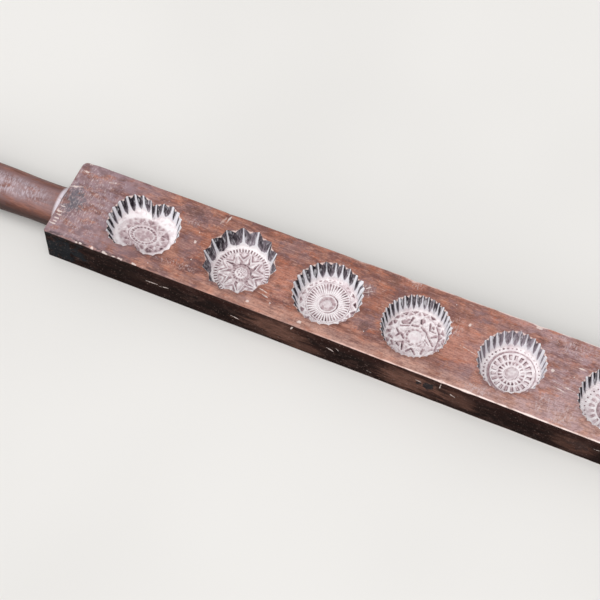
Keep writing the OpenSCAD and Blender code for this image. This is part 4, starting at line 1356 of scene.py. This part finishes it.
def crumb_tree(material):
    """Scatters flat crumbs over a surface where its dust is painted."""
    tree = bpy.data.node_groups.new("flour_crumbs", "GeometryNodeTree")
    face = tree.interface
    face.new_socket("Surface", in_out="INPUT", socket_type="NodeSocketGeometry")
    sizes = (("Density", CRUMB_DENSITY), ("Least size", CRUMB_LEAST), ("Largest size", CRUMB_LARGEST))
    for name, value in sizes:
        socket = face.new_socket(name, in_out="INPUT", socket_type="NodeSocketFloat")
        socket.default_value = value
    face.new_socket("Seed", in_out="INPUT", socket_type="NodeSocketInt").default_value = CRUMB_SEED
    face.new_socket("Crumbs", in_out="OUTPUT", socket_type="NodeSocketGeometry")

    def node(kind, sockets, **settings):
        """Adds a node with its settings, then its socket values or links, and returns its outputs."""
        made = tree.nodes.new(kind)
        for key, value in settings.items():
            setattr(made, key, value)
        for key, value in sockets.items():
            if isinstance(value, bpy.types.NodeSocket):
                tree.links.new(value, made.inputs[key])
            else:
                made.inputs[key].default_value = value
        return made.outputs

    given = node("NodeGroupInput", {})
    dust = node("GeometryNodeInputNamedAttribute", {"Name": "dust"}, data_type="FLOAT")
    density = node("ShaderNodeMath", {0: dust["Attribute"], 1: given["Density"]}, operation="MULTIPLY")
    scatter = node("GeometryNodeDistributePointsOnFaces",
                   {"Mesh": given["Surface"], "Density": density[0], "Seed": given["Seed"]},
                   distribute_method="RANDOM")
    crumb = node("GeometryNodeMeshIcoSphere", {"Radius": 1.0, "Subdivisions": 1})
    flat = node("GeometryNodeTransform", {"Geometry": crumb["Mesh"], "Scale": (1.0, 0.8, 0.4)})
    size = node("FunctionNodeRandomValue",
                {2: given["Least size"], 3: given["Largest size"], "Seed": given["Seed"]}, data_type="FLOAT")
    spread = node("GeometryNodeInstanceOnPoints",
                  {"Points": scatter["Points"], "Instance": flat["Geometry"],
                   "Rotation": scatter["Rotation"], "Scale": size[1]})
    real = node("GeometryNodeRealizeInstances", {"Geometry": spread["Instances"]})
    finish = node("GeometryNodeSetMaterial", {"Geometry": real["Geometry"], "Material": material})
    node("NodeGroupOutput", {"Crumbs": finish["Geometry"]})
    return tree


def scatter_crumbs(board):
    """The crumbs on the board as a piece of their own."""
    crumbs = bpy.data.objects.new("flour_crumbs", board.data.copy())
    bpy.context.scene.collection.objects.link(crumbs)
    crumbs.data.materials.clear()
    modifier = crumbs.modifiers.new("crumbs", "NODES")
    modifier.node_group = crumb_tree(flour_finish())
    sockets = {item.name: item.identifier for item in modifier.node_group.interface.items_tree
               if item.item_type == "SOCKET" and item.in_out == "INPUT"}
    modifier[sockets["Density"]] = CRUMB_DENSITY
    modifier[sockets["Seed"]] = CRUMB_SEED
    settle(crumbs)
    return crumbs


# Studio

FLOOR_SIZE = 12.0
SKY_STRENGTH = 0.46
# Soft lamps: name, strength and the direction that each stands in
LAMPS = (("key", 1.70, (-0.12, -0.25, 0.96)), ("front", 0.70, (0.05, -0.80, 0.57)))
LAMP_SPREAD = 58.0


def lay_floor():
    bpy.ops.mesh.primitive_plane_add(size=FLOOR_SIZE, location=(0.0, 0.0, 0.0))
    floor = bpy.context.object
    floor.name = "studio_floor"
    floor.data.materials.append(floor_finish())


def light_studio():
    world = bpy.data.worlds.new("studio")
    bpy.context.scene.world = world
    world.use_nodes = True
    sky = world.node_tree.nodes["Background"]
    sky.inputs["Color"].default_value = (1.0, 1.0, 1.0, 1.0)
    sky.inputs["Strength"].default_value = SKY_STRENGTH
    for name, energy, towards in LAMPS:
        lamp = bpy.data.lights.new(name, "SUN")
        lamp.energy = energy
        lamp.angle = math.radians(LAMP_SPREAD)
        light = bpy.data.objects.new(name, lamp)
        bpy.context.scene.collection.objects.link(light)
        light.rotation_mode = "QUATERNION"
        light.rotation_quaternion = Vector(towards).normalized().to_track_quat("Z", "Y")


# Where the picture is taken from, relative to the board's top face at its handle end
VIEW_ELEVATION, VIEW_AZIMUTH = 60.871, 23.152
VIEW_TARGET = (187.539, -12.679, 0.0)
VIEW_DISTANCE = 1519.534
LENS, SENSOR = 132.0, 36.0
CLIP_END = 50.0


def set_camera():
    """The photograph's viewpoint."""
    up_turn, side_turn = math.radians(VIEW_ELEVATION), math.radians(VIEW_AZIMUTH)
    flat = math.cos(up_turn)
    back = Vector((math.sin(side_turn) * flat, -math.cos(side_turn) * flat, math.sin(up_turn)))
    right = Vector((math.cos(side_turn), math.sin(side_turn), 0.0))
    up = back.cross(right)
    eye = (Vector(VIEW_TARGET) + back * VIEW_DISTANCE) * MM
    stand = Matrix((right, up, back)).transposed().to_4x4()
    stand.translation = eye
    slope = math.atan((THICK_NEAR - THICK_FAR) / (BOARD_END - BOARD_START))
    corner = Matrix.Translation(Vector((BOARD_START, 0.0, THICK_NEAR)) * MM)
    onto_board = corner @ Matrix.Rotation(slope, 4, "Y")
    data = bpy.data.cameras.new("camera")
    data.lens, data.sensor_width, data.sensor_fit = LENS, SENSOR, "HORIZONTAL"
    data.clip_end = CLIP_END
    camera = bpy.data.objects.new("camera", data)
    bpy.context.scene.collection.objects.link(camera)
    camera.matrix_world = onto_board @ stand
    bpy.context.scene.camera = camera


def dress(piece, material):
    piece.data.materials.clear()
    piece.data.materials.append(material)


set_camera()
light_studio()
lay_floor()

board = draw_board()
socket_start = (BOARD_START - DRILL_RUN_IN, AXIS_Y, AXIS_Z)
bore(board, socket_start, (1.0, 0.0, 0.0), SOCKET_R, SOCKET_LENGTH + DRILL_RUN_IN)
bore_pegs(board)
dress(board, board_finish())
handle = draw_handle()
bore_pegs(handle)
dress(handle, handle_finish())
peg_wood = peg_finish()
for peg_name in ("tenon_peg_1", "tenon_peg_2"):
    dress(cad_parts[peg_name], peg_wood)
crumbs = scatter_crumbs(board)

for piece in (board, handle, crumbs):
    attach(piece, "root")
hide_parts("mold_board")
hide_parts("handle")

bpy.context.scene.view_settings.view_transform = "Standard"
